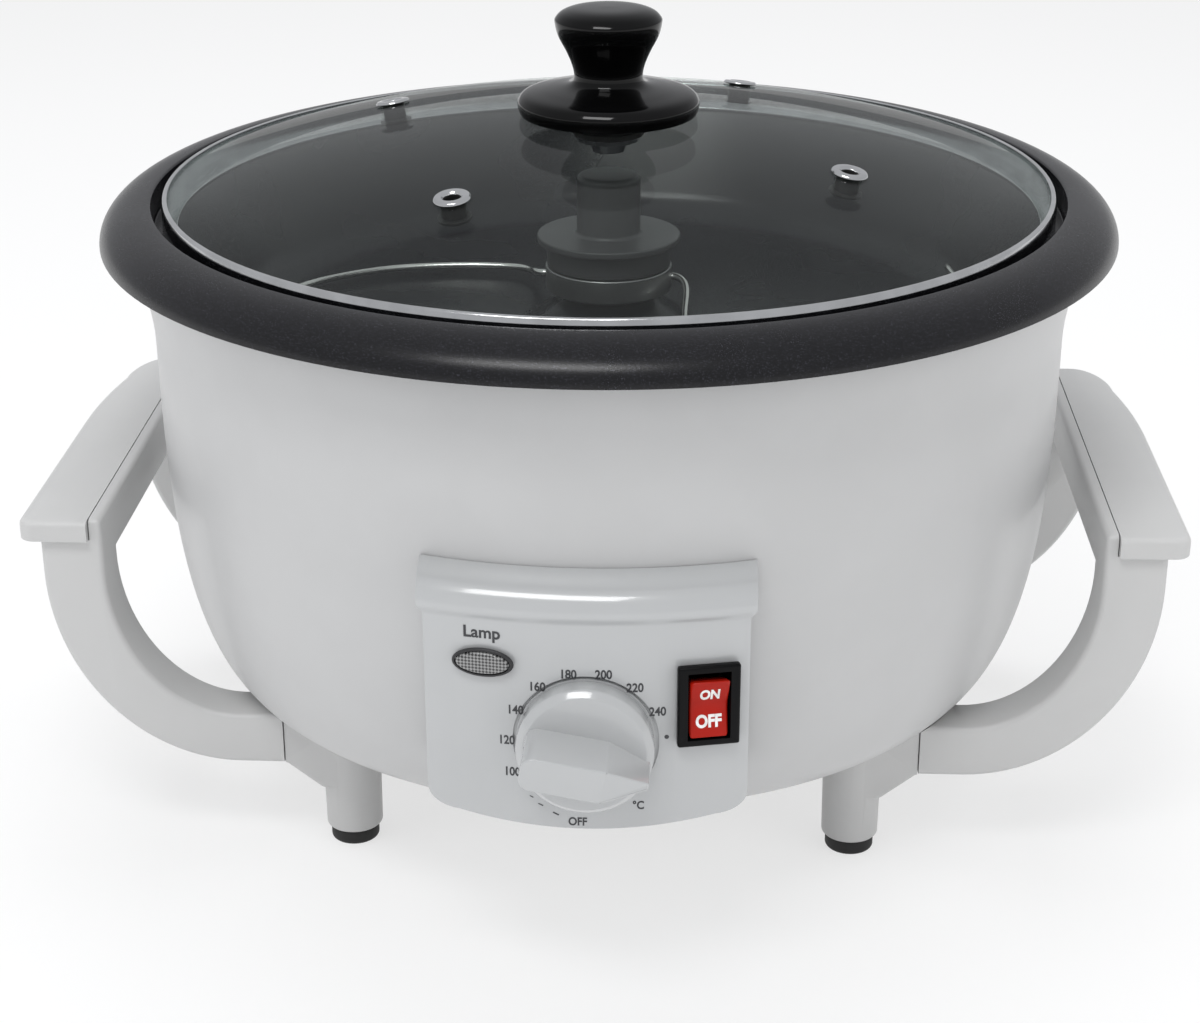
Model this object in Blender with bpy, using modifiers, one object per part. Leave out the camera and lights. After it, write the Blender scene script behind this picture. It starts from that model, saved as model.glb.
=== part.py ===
"""Home coffee bean roaster for a countertop.

A shallow roasting pan with a loose glass lid sits in a bowl-shaped housing on four short legs.
A motor turns a wire stirrer in the pan. A control box on the front has a temperature dial,
a pilot lamp and a rocker switch, and a loop handle stands out on each side.

Metres, +Z up, front towards -Y, the floor at z = 0. The object is centred on its own depth, so
everything hangs from an empty on the pan's axis, and the places below are counted from that axis.
"""

import math

import bmesh
import bpy
from mathutils import Vector

# Fits
GAP = 0.0003
RUN_GAP = 0.0005
CLOSE_FIT = 0.0001
WELD = 0.000001

# Roundness
LARGE_STEPS = 40
PANEL_STEPS = 144
MEDIUM_STEPS = 24
SMALL_STEPS = 16

# Feet and legs
FOOT_R = 0.0066
FOOT_H = 0.004
FOOT_EDGE = 0.0007
LEG_X = 0.0687
LEG_TOP_R = 0.0080
LEG_END_R = 0.0077
GUSSET_THICK = 0.0144
GUSSET_RISE = 0.009
GUSSET_OUTER_DROP = 0.0002
GUSSET_INNER_DROP = 0.008
GUSSET_KNEE_X = 0.0073

# Bowl-shaped housing, by outer radius and height
HOUSING_FLOOR_Z = 0.036
HOUSING_FLOOR_R = 0.0937
HOUSING_SIDE_H = 0.100
HOUSING_SIDE_R = 0.124
HOUSING_FLARE_W = 0.003
HOUSING_WALL = 0.002
HOUSING_OPENING_LAP = 0.0085
BOWL_POWER = 2.77
BOWL_STEPS = 8
FLARE_STEPS = 3

# Roasting pan
POT_OVERHANG = 0.0097
POT_FLANGE_RISE = 0.027
POT_ROLL_W = 0.014
POT_ROLL_H = 0.0094
POT_ROLL_STEPS = 7
POT_SEAT_RISE = 0.002
POT_WALL_INSET = 0.0075
POT_KNEE_INSET = 0.021
POT_KNEE_DEEP = 0.027
POT_FLOOR_INSET = 0.030
POT_DEEP = 0.031
POT_KNEE_SHARE = 0.36
POT_WALL = 0.0025
POT_CONE_R = 0.022
POT_CONE_H = 0.0082
POT_TUBE_R = 0.0105
POT_TUBE_BORE_R = 0.0063
POT_TUBE_H = 0.018
POT_BOSS_H = 0.010

# Glass lid with its steel band
DOME_R = 0.379
DOME_EDGE_H = 0.008295
GLASS_THICK = 0.004
GLASS_INSET = 0.0024
GLASS_HOLE_R = 0.0024
GLASS_RINGS = 6
BAND_PLAY = 0.0027
BAND_THICK = 0.0007
BAND_SHOULDER_DROP = 0.001095
BAND_LIP_W = 0.001
BAND_SHOULDER = 0.0008
BAND_FOOT_W = 0.0040
VENT_RING_R = 0.0724
VENT_TURN = math.radians(240.27)
VENT_COUNT = 4
VENT_R = 0.005
VENT_UNDER_R = 0.0044
VENT_BARREL_R = 0.0031
VENT_HOLE_R = 0.0021
VENT_GLASS_HOLE_R = 0.0036
VENT_FLANGE = 0.0009
VENT_STEPS = 12

# Lid knob: shares of the skirt's radius and of the knob's height, from the top down
KNOB_R = 0.0244
KNOB_H = 0.0287
KNOB_SINK = 0.0004
KNOB_RECESS_R = 0.0195
KNOB_RECESS_H = 0.0022
KNOB_BORE_R = 0.0021
KNOB_BORE_H = 0.0159
KNOB_OUTLINE_SHARES = (
    (0, 1), (0.34, 0.99), (0.50, 0.955), (0.575, 0.90), (0.585, 0.855), (0.553, 0.74),
    (0.467, 0.60), (0.406, 0.48), (0.379, 0.37), (0.43, 0.286), (0.70, 0.24), (0.915, 0.20),
    (0.99, 0.145), (1, 0.09), (0.975, 0.018), (0.935, 0),
)
SCREW_R = 0.0018
SCREW_HEAD_R = 0.0052
SCREW_HEAD_H = 0.0028
SEAL_R = 0.0095
SEAL_H = 0.0014
WASHER_R = 0.0085
WASHER_H = 0.0011

# Stirrer
HUB_POST_R = 0.0087
HUB_HEADROOM = 0.0065
HUB_TOP_EDGE = 0.0015
HUB_DISC_R = 0.0196
HUB_DISC_RISE = 0.0224
HUB_DISC_H = 0.002
HUB_DRUM_R = 0.017
HUB_DRUM_RISE = 0.016
HUB_CUP_R = 0.0132
HUB_CUP_PLAY = 0.0015
HUB_CAP_H = 0.006
COLLAR_R = 0.0174
COLLAR_BORE_R = 0.0135
COLLAR_H = 0.0065
ARM_WIRE_R = 0.001
ARM_HOLE_R = 0.0013
ARM_HOLE_DEEP = 0.0031
ARM_SMOOTH_STEPS = 2
# Each arm's knots: share of the way from the collar to the pan's floor edge (past 1, of the
# knee's width), turn in degrees, and height above the floor as a share of the tube's
ARM_KNOTS = (
    (-0.0309, -3.81, 0.6944), (0.0244, -4.76, 0.6833), (0.0701, -19.23, 0.6111),
    (0.1445, -41.87, 0.3611), (0.2624, -53.13, 0.1944), (0.3886, -52.06, 0.15),
    (0.566, -39.32, 0.1389), (0.7625, -26.23, 0.1389), (0.9354, -12.32, 0.1444),
    (1.28, 1.19, 0.1667), (1.7234, 11.48, 0.2333), (1.8562, 18.93, 0.3056),
)
SHAFT_R = 0.0030
SHAFT_SINK = 0.018
SHAFT_END_PLAY = 0.0005

# Handles
HANDLE_END_W = 0.0173
HANDLE_ARC_W = 0.012
HANDLE_ARC_RISE = 0.046
HANDLE_SPACE_W = 0.007
HANDLE_BEAM_W = 0.0165
HANDLE_DROP = 0.010
HANDLE_END_H = 0.0145
HANDLE_TOP_RISE = 0.0097
HANDLE_STRIP_W = 0.0032
HANDLE_STRIP_H = 0.0058
HANDLE_HALF_Y = 0.063
HANDLE_ARM_W = 0.015
HANDLE_BEAM_H = 0.0082
HANDLE_EDGE = 0.0017
HANDLE_ARC_STEPS = 9
CAP_THICK = 0.0055
CAP_OVERHANG_X = 0.0055
CAP_OVERHANG_FRONT = 0.002
CAP_OVERHANG_BACK = 0.003
CAP_FRONT_CORNER = 0.0045
CAP_STRAIGHT_Y = 0.010
CAP_CORNER_L = 0.019
CAP_TAPER_X = 0.0035
CAP_BACK_CORNER_X = 0.011
CAP_EDGE = 0.0018

# Control box, whose front is a cylinder about the pan's axis
PANEL_STAND = 0.010
PANEL_WALL = 0.0025
PANEL_MARGIN_W = 0.0024
PANEL_HEAD = 0.0215
PANEL_BAND_OUT = 0.0009
PANEL_BAND_SIDE_W = 0.0015
PANEL_BAND_H = 0.0104
PANEL_BAND_LIP = 0.0025
PANEL_BAND_STEPS = 5
PANEL_LOW_RISE = 0.0137
PANEL_LOW_SAG = 0.0028
PANEL_CORNER_W = 0.0075
PANEL_CORNER_H = 0.005
PANEL_ROOF = 0.0031
PANEL_FLOOR = 0.0063
PANEL_SKIRT = 0.0057
PANEL_DEEP = 0.024
PANEL_SIDE_STEPS = 4

# Temperature dial and thermostat, on an axis along Y
DIAL_RISE = 0.0236
DIAL_PLAY = 0.0042
DIAL_R = 0.0169
DIAL_H = 0.0062
DIAL_CHAMFER = 0.0016
DIAL_BAR_THICK = 0.0098
DIAL_BAR_H = 0.015
DIAL_BAR_END = 0.0145
DIAL_BAR_TIP = 0.0156
DIAL_BAR_TIP_W = 0.0020
DIAL_BAR_KINK = 0.0052
DIAL_BAR_CORNER = 0.0030
DIAL_BAR_EDGE = 0.0011
DIAL_BAR_ROOT = 0.0018
DIAL_BAR_DRAFT_SHARE = 0.86
DIAL_REST_TILT = math.radians(10.5)
DIAL_RECESS_R = 0.0090
DIAL_RECESS_H = 0.0032
DIAL_SOCKET_H = 0.0105
DIAL_STEPS = 32
THERMOSTAT_R = 0.0145
THERMOSTAT_L = 0.027
THERMOSTAT_BUSH_R = 0.0040
THERMOSTAT_BUSH_L = 0.0064
THERMOSTAT_SHAFT_R = 0.0028
THERMOSTAT_SHAFT_DEEP = 0.016
THERMOSTAT_SHAFT_OUT = 0.0103
NUT_R = 0.0068
NUT_BORE_R = 0.0051
NUT_H = 0.0022
NUT_SIDES = 6

# Rocker switch, turned to face along the panel's curve
SWITCH_RISE = 0.0333
BEZEL_LAP = 0.001
BEZEL_THICK = 0.0022
BEZEL_EDGE = 0.0005
ROCKER_W = 0.0093
ROCKER_H = 0.016
ROCKER_OUT = 0.0043
ROCKER_DIP = 0.0022
ROCKER_BACK = 0.0035
ROCKER_BACK_SHARE = 0.55
ROCKER_EDGE = 0.0004
ROCKER_PIVOT_DEEP = 0.001
ROCKER_TILT = math.radians(7)
ROCKER_PLAY = 0.0008
SWITCH_WALL_W = 0.00185
SWITCH_WALL_H = 0.0007
SWITCH_BODY_DEEP = 0.024
SWITCH_POCKET_DEEP = 0.0075

# Pilot lamp
LAMP_OFFSET = 0.0071
LAMP_DROP = 0.0103
LAMP_RIM_W = 0.015
LAMP_RIM_H = 0.0074
LAMP_RIM_THICK = 0.001
LAMP_RIM_OUT = 0.0014
LAMP_LENS_OUT = 0.0019
LAMP_LENS_DEEP = 0.0036
LAMP_LENS_EDGE = 0.0006
LAMP_BODY_R = 0.0022
LAMP_BODY_L = 0.0035
LAMP_STEPS = 24

# Heating element, shield and sensor under the pan
HEATER_RING_R = 0.070
HEATER_R = 0.0035
HEATER_OPEN = math.radians(24)
HEATER_STEPS = 24
HEATER_POST_R = 0.003
HEATER_POST_COUNT = 3
SHIELD_DROP = 0.0215
SHIELD_THICK = 0.001
SHIELD_RIM_H = 0.0055
SHIELD_BORE_R = 0.0125
SHIELD_SLOPE_W = 0.0172
SENSOR_R = 0.0026
SENSOR_L = 0.040
SENSOR_Y = -0.042
SENSOR_CLIP = 0.006
FUSE_R = 0.0024
FUSE_L = 0.016
FUSE_Y = 0.040
BUSH_R = 0.0060
BUSH_BORE_R = 0.0034
BUSH_FLANGE_R = 0.0090
BUSH_FLANGE_H = 0.0018
BUSH_TOP_DROP = 0.0010

# Gear motor on its bracket
BRACKET_HALF_X = 0.0455
BRACKET_FOOT_X = 0.080
BRACKET_THICK = 0.0015
BRACKET_DROP = 0.002
BRACKET_W = 0.030
BRACKET_HOLE_R = 0.006
GEARBOX_W = 0.058
GEARBOX_D = 0.042
GEARBOX_H = 0.020
GEARBOX_EDGE = 0.002
MOTOR_R = 0.0178
MOTOR_H = 0.036
MOTOR_EDGE = 0.0015
TERMINAL_W = 0.028
TERMINAL_D = 0.013
TERMINAL_H = 0.012
TERMINAL_Y = 0.0802
TERMINAL_EDGE = 0.0012

# Base plate
BASE_PLAY = 0.001757
BASE_THICK = 0.0015
BASE_HOLE_R = 0.008
BASE_SLOT_COUNT = 6
BASE_SLOT_R = 0.038
BASE_SLOT_L = 0.026
BASE_SLOT_W = 0.0042
BASE_SCREW_R = 0.0016
BASE_SCREW_HOLE_R = 0.0020
BASE_SCREW_HEAD_R = 0.0032
BASE_SCREW_HEAD_H = 0.0020
BASE_SCREW_L = 0.0065
BASE_SCREW_INSET = 0.0043
BASE_SCREW_COUNT = 4

# Cord gland in the back of the housing
GLAND_RISE = 0.034
GLAND_FLANGE_R = 0.0088
GLAND_NECK_R = 0.0060
GLAND_BORE_R = 0.0042
GLAND_OUT = 0.0050
GLAND_IN = 0.0060
GLAND_EDGE = 0.0012

# Finishes: colour, roughness, metallic, alpha
FINISHES = {
    "shell_white": ((0.57, 0.57, 0.55), 0.42, 0.0, 1.0),
    "panel_white": ((0.66, 0.68, 0.69), 0.15, 0.0, 1.0),
    "pan_black": ((0.022, 0.022, 0.026), 0.38, 0.1, 1.0),
    "lid_glass": ((0.78, 0.80, 0.80), 0.03, 0.0, 0.35),
    "bright_steel": ((0.72, 0.72, 0.72), 0.2, 1.0, 1.0),
    "knob_black": ((0.008, 0.008, 0.009), 0.09, 0.0, 1.0),
    "rubber_black": ((0.012, 0.012, 0.012), 0.7, 0.0, 1.0),
    "hub_grey": ((0.09, 0.09, 0.09), 0.45, 0.0, 1.0),
    "collar_steel": ((0.35, 0.35, 0.35), 0.4, 0.9, 1.0),
    "switch_black": ((0.012, 0.012, 0.013), 0.3, 0.0, 1.0),
    "rocker_red": ((0.62, 0.02, 0.012), 0.2, 0.0, 1.0),
    "lamp_rim_grey": ((0.08, 0.08, 0.08), 0.35, 0.0, 1.0),
    "lamp_clear": ((0.30, 0.30, 0.29), 0.15, 0.0, 1.0),
    "sheet_steel": ((0.45, 0.45, 0.44), 0.45, 0.9, 1.0),
    "heater_steel": ((0.22, 0.21, 0.20), 0.5, 0.8, 1.0),
    "brass": ((0.60, 0.42, 0.16), 0.35, 0.9, 1.0),
    "terminal_cream": ((0.70, 0.66, 0.55), 0.5, 0.0, 1.0),
}

# Heights and radii that follow from the sizes above: housing and pan
HOUSING_SIDE_Z = HOUSING_FLOOR_Z + HOUSING_SIDE_H
HOUSING_RIM_R = HOUSING_SIDE_R + HOUSING_FLARE_W
HOUSING_INSIDE_Z = HOUSING_FLOOR_Z + HOUSING_WALL
BASE_TOP_Z = HOUSING_FLOOR_Z - GAP
POT_FLANGE_R = HOUSING_RIM_R + POT_OVERHANG
POT_FLANGE_Z = HOUSING_SIDE_Z + POT_FLANGE_RISE
POT_LIP_R = POT_FLANGE_R - POT_ROLL_W
POT_SEAT_Z = POT_FLANGE_Z + POT_SEAT_RISE
POT_WALL_TOP_R = HOUSING_SIDE_R - POT_WALL_INSET
POT_KNEE_R = HOUSING_SIDE_R - POT_KNEE_INSET
POT_KNEE_Z = POT_SEAT_Z - POT_KNEE_DEEP
POT_FLOOR_R = HOUSING_SIDE_R - POT_FLOOR_INSET
POT_FLOOR_Z = POT_SEAT_Z - POT_DEEP
POT_UNDER_Z = POT_FLOOR_Z - POT_WALL
POT_CONE_TOP_Z = POT_FLOOR_Z + POT_CONE_H
POT_TUBE_TOP_Z = POT_FLOOR_Z + POT_TUBE_H
POT_BOSS_Z = POT_FLOOR_Z - POT_BOSS_H
HOUSING_RIM_Z = POT_FLANGE_Z - GAP

# Lid, knob and stirrer
BAND_R = POT_LIP_R - BAND_PLAY
BAND_BASE_Z = POT_SEAT_Z + GAP
GLASS_R = BAND_R - GLASS_INSET
BAND_LIP_R = GLASS_R - BAND_LIP_W
DOME_EDGE_Z = POT_SEAT_Z + DOME_EDGE_H
DOME_TOP_Z = DOME_EDGE_Z + DOME_R - math.sqrt(DOME_R**2 - GLASS_R**2)
BAND_SHOULDER_Z = DOME_EDGE_Z - BAND_SHOULDER_DROP
GLASS_UNDER_Z = DOME_TOP_Z - GLASS_THICK
SEAL_TOP_Z = GLASS_UNDER_Z - GAP * 2
WASHER_TOP_Z = SEAL_TOP_Z - SEAL_H - GAP
SCREW_HEAD_Z = WASHER_TOP_Z - WASHER_H - GAP
SCREW_LOW_Z = SCREW_HEAD_Z - SCREW_HEAD_H
KNOB_BASE_Z = DOME_TOP_Z - KNOB_SINK
KNOB_BORE_TOP_Z = KNOB_BASE_Z + KNOB_BORE_H
HUB_TOP_Z = SCREW_LOW_Z - HUB_HEADROOM
HUB_DISC_Z = POT_FLOOR_Z + HUB_DISC_RISE
HUB_DRUM_Z = POT_FLOOR_Z + HUB_DRUM_RISE
HUB_CUP_Z = POT_TUBE_TOP_Z + HUB_CUP_PLAY
HUB_BORE_TOP_Z = HUB_TOP_Z - HUB_CAP_H
SHAFT_TOP_Z = HUB_BORE_TOP_Z - SHAFT_END_PLAY

# Heater and motor
HEATER_Z = POT_UNDER_Z - GAP - HEATER_R
SHIELD_Z = POT_FLOOR_Z - SHIELD_DROP
SHIELD_RIM_Z = SHIELD_Z + SHIELD_RIM_H
BRACKET_TOP_Z = SHIELD_Z - BRACKET_DROP
SHAFT_BASE_Z = BRACKET_TOP_Z - SHAFT_SINK

# Handles, legs and base plate
LEG_Y = HANDLE_HALF_Y - HANDLE_ARM_W / 2 - CLOSE_FIT
HANDLE_END_X = LEG_X + HANDLE_END_W
HANDLE_ARC_X = HANDLE_END_X + HANDLE_ARC_W
HANDLE_ARC_Z = HOUSING_FLOOR_Z + HANDLE_ARC_RISE
HANDLE_INNER_X = HOUSING_SIDE_R + HANDLE_SPACE_W
HANDLE_OUTER_X = HANDLE_INNER_X + HANDLE_BEAM_W
HANDLE_OUTER_LOW_Z = HOUSING_FLOOR_Z - HANDLE_DROP
HANDLE_INNER_LOW_Z = HANDLE_OUTER_LOW_Z + HANDLE_END_H
HANDLE_TOP_Z = HANDLE_ARC_Z + HANDLE_TOP_RISE
HANDLE_BEAM_Z = HANDLE_TOP_Z - HANDLE_BEAM_H
HANDLE_STRIP_X = HANDLE_INNER_X + HANDLE_STRIP_W
HANDLE_STRIP_Z = HANDLE_TOP_Z + HANDLE_STRIP_H
HANDLE_ARM_Y = HANDLE_HALF_Y - HANDLE_ARM_W
CAP_INNER_X = HANDLE_STRIP_X + GAP
CAP_OUTER_X = HANDLE_OUTER_X + CAP_OVERHANG_X
CAP_BASE_Z = HANDLE_TOP_Z + GAP
CAP_TOP_Z = CAP_BASE_Z + CAP_THICK
CAP_FRONT_Y = HANDLE_HALF_Y + CAP_OVERHANG_FRONT
CAP_BACK_Y = HANDLE_HALF_Y + CAP_OVERHANG_BACK
CAP_TAPER_Y = CAP_BACK_Y - CAP_CORNER_L
BASE_R = math.hypot(LEG_X, LEG_Y) - LEG_TOP_R - BASE_PLAY
BASE_SCREW_RING_R = BASE_R - BASE_SCREW_INSET
HOUSING_OPENING_R = BASE_R - HOUSING_OPENING_LAP
GUSSET_TOP_Z = HOUSING_FLOOR_Z + GUSSET_RISE
GUSSET_OUTER_Z = HANDLE_OUTER_LOW_Z - GUSSET_OUTER_DROP
GUSSET_INNER_Z = HANDLE_OUTER_LOW_Z - GUSSET_INNER_DROP

# Control box and what it carries
PANEL_R = HOUSING_SIDE_R + PANEL_STAND
PANEL_BAND_R = PANEL_R + PANEL_BAND_OUT
PANEL_BACK_R = HOUSING_SIDE_R - PANEL_DEEP
PANEL_LOW_Z = HOUSING_FLOOR_Z + PANEL_LOW_RISE
PANEL_LOW_SIDE_Z = PANEL_LOW_Z + PANEL_LOW_SAG
PANEL_CORNER_Z = PANEL_LOW_SIDE_Z + PANEL_CORNER_H
PANEL_CAVITY_LOW_Z = PANEL_LOW_Z + PANEL_FLOOR
PANEL_BACK_Z = PANEL_LOW_Z - PANEL_SKIRT
ROCKER_WINDOW_H = ROCKER_H + ROCKER_PLAY * 2
SWITCH_BODY_W = ROCKER_W + SWITCH_WALL_W * 2
SWITCH_BODY_H = ROCKER_WINDOW_H + SWITCH_WALL_H * 2
BEZEL_W = SWITCH_BODY_W + BEZEL_LAP * 2
BEZEL_H = SWITCH_BODY_H + BEZEL_LAP * 2
SWITCH_X = DIAL_R + DIAL_PLAY + BEZEL_W / 2
PANEL_HALF_W = SWITCH_X + BEZEL_W / 2 + PANEL_MARGIN_W
PANEL_BAND_HALF_W = PANEL_HALF_W + PANEL_BAND_SIDE_W
PANEL_CORNER_X = PANEL_HALF_W - PANEL_CORNER_W
DIAL_Z = PANEL_LOW_Z + DIAL_RISE
SWITCH_Z = PANEL_LOW_Z + SWITCH_RISE
PANEL_TOP_Z = SWITCH_Z + SWITCH_BODY_H / 2 + PANEL_HEAD
PANEL_BAND_Z = PANEL_TOP_Z - PANEL_BAND_H
PANEL_CAVITY_TOP_Z = PANEL_BAND_Z - PANEL_ROOF
LAMP_X = -DIAL_R - LAMP_OFFSET
LAMP_Z = PANEL_BAND_Z - LAMP_DROP
LAMP_LENS_W = LAMP_RIM_W - LAMP_RIM_THICK * 2
LAMP_LENS_H = LAMP_RIM_H - LAMP_RIM_THICK * 1.9
SWITCH_TURN = math.asin(SWITCH_X / PANEL_R)
LAMP_TURN = math.asin(LAMP_X / PANEL_R)
DIAL_BACK_Y = -(PANEL_R + GAP)
GLAND_Z = HOUSING_FLOOR_Z + GLAND_RISE

# The pan's axis stands so that the object is centred from front to back
FRONT_REACH = PANEL_R + GAP + DIAL_H + DIAL_BAR_H
POT_AXIS_Y = (FRONT_REACH - POT_FLANGE_R) / 2

PARTS = "coffee_bean_roaster"
CUTTERS = "coffee_bean_roaster_cutters"
FRAME = "pan_axis"


def clear_scene():
    """Empties the scene, and makes the two collections and the empty on the pan's axis."""
    for item in list(bpy.data.objects):
        bpy.data.objects.remove(item, do_unlink=True)
    for name in (PARTS, CUTTERS):
        bpy.context.scene.collection.children.link(bpy.data.collections.new(name))
    frame = bpy.data.objects.new(FRAME, None)
    frame.location = (0, POT_AXIS_Y, 0)
    bpy.context.scene.collection.objects.link(frame)


def make_finishes():
    """Makes a material for each finish."""
    for name, (colour, roughness, metallic, alpha) in FINISHES.items():
        material = bpy.data.materials.new(name)
        material.use_nodes = True
        shader = material.node_tree.nodes["Principled BSDF"]
        shader.inputs["Base Color"].default_value = (*colour, 1)
        shader.inputs["Roughness"].default_value = roughness
        shader.inputs["Metallic"].default_value = metallic
        shader.inputs["Alpha"].default_value = alpha


def add(name, data, finish, place=(0, 0, 0), turn=(0, 0, 0)):
    """Adds an object under the pan's axis: a cutter where it has no finish, else a part."""
    piece = bpy.data.objects.new(name, data)
    piece.parent = bpy.data.objects[FRAME]
    piece.location = place
    piece.rotation_euler = turn
    if finish is None:
        bpy.data.collections[CUTTERS].objects.link(piece)
        piece.hide_render = True
        piece.display_type = "WIRE"
        return piece
    bpy.data.collections[PARTS].objects.link(piece)
    data.materials.append(bpy.data.materials[finish])
    return piece


def smooth(data):
    """Shades a mesh smooth, with its corners kept sharp."""
    data.shade_smooth()
    data.set_sharp_from_angle(angle=math.radians(35))


def turned(name, profile, finish, steps, closed=True, place=(0, 0, 0), turn=(0, 0, 0)):
    """Turns a profile of (radius, height) points, running down its outer side, about Z."""
    data = bpy.data.meshes.new(name)
    shape = bmesh.new()
    points = [shape.verts.new((radius, 0, height)) for radius, height in profile]
    for first, second in zip(points, points[1:]):
        shape.edges.new((first, second))
    if closed:
        shape.edges.new((points[-1], points[0]))
    shape.to_mesh(data)
    shape.free()
    piece = add(name, data, finish, place, turn)
    screw = piece.modifiers.new("Turn", "SCREW")
    screw.angle = math.tau
    screw.steps = steps
    screw.render_steps = steps
    screw.use_merge_vertices = True
    screw.merge_threshold = WELD
    screw.use_smooth_shade = True
    return piece


def box(name, size, finish, place=(0, 0, 0), turn=(0, 0, 0)):
    """Makes a box with its middle at the place."""
    data = bpy.data.meshes.new(name)
    shape = bmesh.new()
    bmesh.ops.create_cube(shape, size=1)
    bmesh.ops.scale(shape, vec=size, verts=shape.verts)
    shape.to_mesh(data)
    shape.free()
    return add(name, data, finish, place, turn)


def rod(name, low_r, high_r, length, finish, place=(0, 0, 0), turn=(0, 0, 0), steps=SMALL_STEPS):
    """Makes a round rod, tapered where its radii differ, with its middle at the place."""
    data = bpy.data.meshes.new(name)
    shape = bmesh.new()
    bmesh.ops.create_cone(
        shape, cap_ends=True, segments=steps, radius1=low_r, radius2=high_r, depth=length
    )
    shape.to_mesh(data)
    shape.free()
    smooth(data)
    return add(name, data, finish, place, turn)


def solid_mesh(source, name):
    """Turns a curve object into a mesh with its caps welded, and removes the curve."""
    bpy.context.view_layer.update()
    graph = bpy.context.evaluated_depsgraph_get()
    data = bpy.data.meshes.new_from_object(source.evaluated_get(graph))
    data.name = name
    shape = bmesh.new()
    shape.from_mesh(data)
    bmesh.ops.remove_doubles(shape, verts=shape.verts, dist=WELD)
    shape.to_mesh(data)
    shape.free()
    data.materials.clear()
    bpy.data.objects.remove(source, do_unlink=True)
    return data


def extruded(name, loops, thick, finish, place=(0, 0, 0), turn=(0, 0, 0)):
    """Fills flat closed loops of (x, y) points and gives them a thickness along Z."""
    curve = bpy.data.curves.new(name + "_outline", "CURVE")
    curve.dimensions = "2D"
    curve.fill_mode = "BOTH"
    curve.extrude = thick / 2
    for loop in loops:
        spline = curve.splines.new("POLY")
        spline.points.add(len(loop) - 1)
        spline.use_cyclic_u = True
        for point, (x, y) in zip(spline.points, loop):
            point.co = (x, y, 0, 1)
    flat = bpy.data.objects.new(name + "_outline", curve)
    bpy.context.scene.collection.objects.link(flat)
    return add(name, solid_mesh(flat, name), finish, place, turn)


def wire(name, route, radius, finish, place=(0, 0, 0), turn=(0, 0, 0)):
    """Makes a round wire along a route of points."""
    curve = bpy.data.curves.new(name, "CURVE")
    curve.dimensions = "3D"
    curve.bevel_depth = radius
    curve.bevel_resolution = 2
    curve.use_fill_caps = True
    spline = curve.splines.new("POLY")
    spline.points.add(len(route) - 1)
    for point, spot in zip(spline.points, route):
        point.co = (*spot, 1)
    return add(name, curve, finish, place, turn)


def boolean(piece, tool, operation="DIFFERENCE"):
    """Cuts a piece with a tool, or joins the two, or keeps what they share."""
    change = piece.modifiers.new(operation.title() + " " + tool.name, "BOOLEAN")
    change.operation = operation
    change.solver = "EXACT"
    change.object = tool


def round_edges(piece, width, segments=2):
    """Rounds a piece's sharp edges."""
    change = piece.modifiers.new("Edges", "BEVEL")
    change.width = width
    change.segments = segments
    change.limit_method = "ANGLE"
    change.angle_limit = math.radians(40)
    change.use_clamp_overlap = True


def ellipse_arc(centre, half, start, end, steps):
    """Points along an ellipse from one angle to another, in degrees, both ends kept."""
    angles = [math.radians(start + (end - start) * step / steps) for step in range(steps + 1)]
    return [
        (centre[0] + half[0] * math.cos(angle), centre[1] + half[1] * math.sin(angle))
        for angle in angles
    ]


def smooth_route(knots, steps):
    """Points along a smooth curve that passes through every knot."""
    knots = [Vector(knot) for knot in knots]
    knots = [2 * knots[0] - knots[1], *knots, 2 * knots[-1] - knots[-2]]
    route = []
    for before, first, second, after in zip(knots, knots[1:], knots[2:], knots[3:]):
        for step in range(steps):
            share = step / steps
            bend = 2 * before - 5 * first + 4 * second - after
            twist = 3 * first - before - 3 * second + after
            route.append(
                first
                + (second - before) * share / 2
                + bend * share**2 / 2
                + twist * share**3 / 2
            )
    return [*route, knots[-2]]


def around(radius, angle, height=0.0):
    """A place on a circle about the pan's axis."""
    return (radius * math.cos(angle), radius * math.sin(angle), height)


def on_panel(turn, outward, height):
    """A place that far out of the panel's face, where its normal is turned from -Y."""
    radius = PANEL_R + outward
    return (radius * math.sin(turn), -radius * math.cos(turn), height)


def bowl_curve(inset=0.0):
    """The housing's round side from the flare down to its floor, moved inwards by the inset."""
    points = []
    for step in range(BOWL_STEPS + 1):
        angle = math.pi / 2 * step / BOWL_STEPS
        across = max(math.cos(angle), 0) ** (2 / BOWL_POWER) if step < BOWL_STEPS else 0
        down = math.sin(angle) ** (2 / BOWL_POWER) if step else 0
        radius = HOUSING_FLOOR_R + (HOUSING_SIDE_R - HOUSING_FLOOR_R - inset) * across
        points.append((radius, HOUSING_SIDE_Z - (HOUSING_SIDE_Z - HOUSING_FLOOR_Z - inset) * down))
    return points


def flare_curve(inset=0.0):
    """The housing's slight flare from its rim down to the round side, without the last point."""
    points = []
    for step in range(FLARE_STEPS):
        share = 1 - step / FLARE_STEPS
        rise = (1 - math.cos(math.pi * share)) / 2
        radius = HOUSING_SIDE_R - inset + (HOUSING_RIM_R - HOUSING_SIDE_R) * rise
        points.append((radius, HOUSING_SIDE_Z + (HOUSING_RIM_Z - HOUSING_SIDE_Z) * share))
    return points


def bowl_radius(height):
    """The housing's outer radius at a height on its round side."""
    down = (HOUSING_SIDE_Z - height) / (HOUSING_SIDE_Z - HOUSING_FLOOR_Z)
    across = (1 - down**BOWL_POWER) ** (1 / BOWL_POWER)
    return HOUSING_FLOOR_R + (HOUSING_SIDE_R - HOUSING_FLOOR_R) * across


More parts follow.
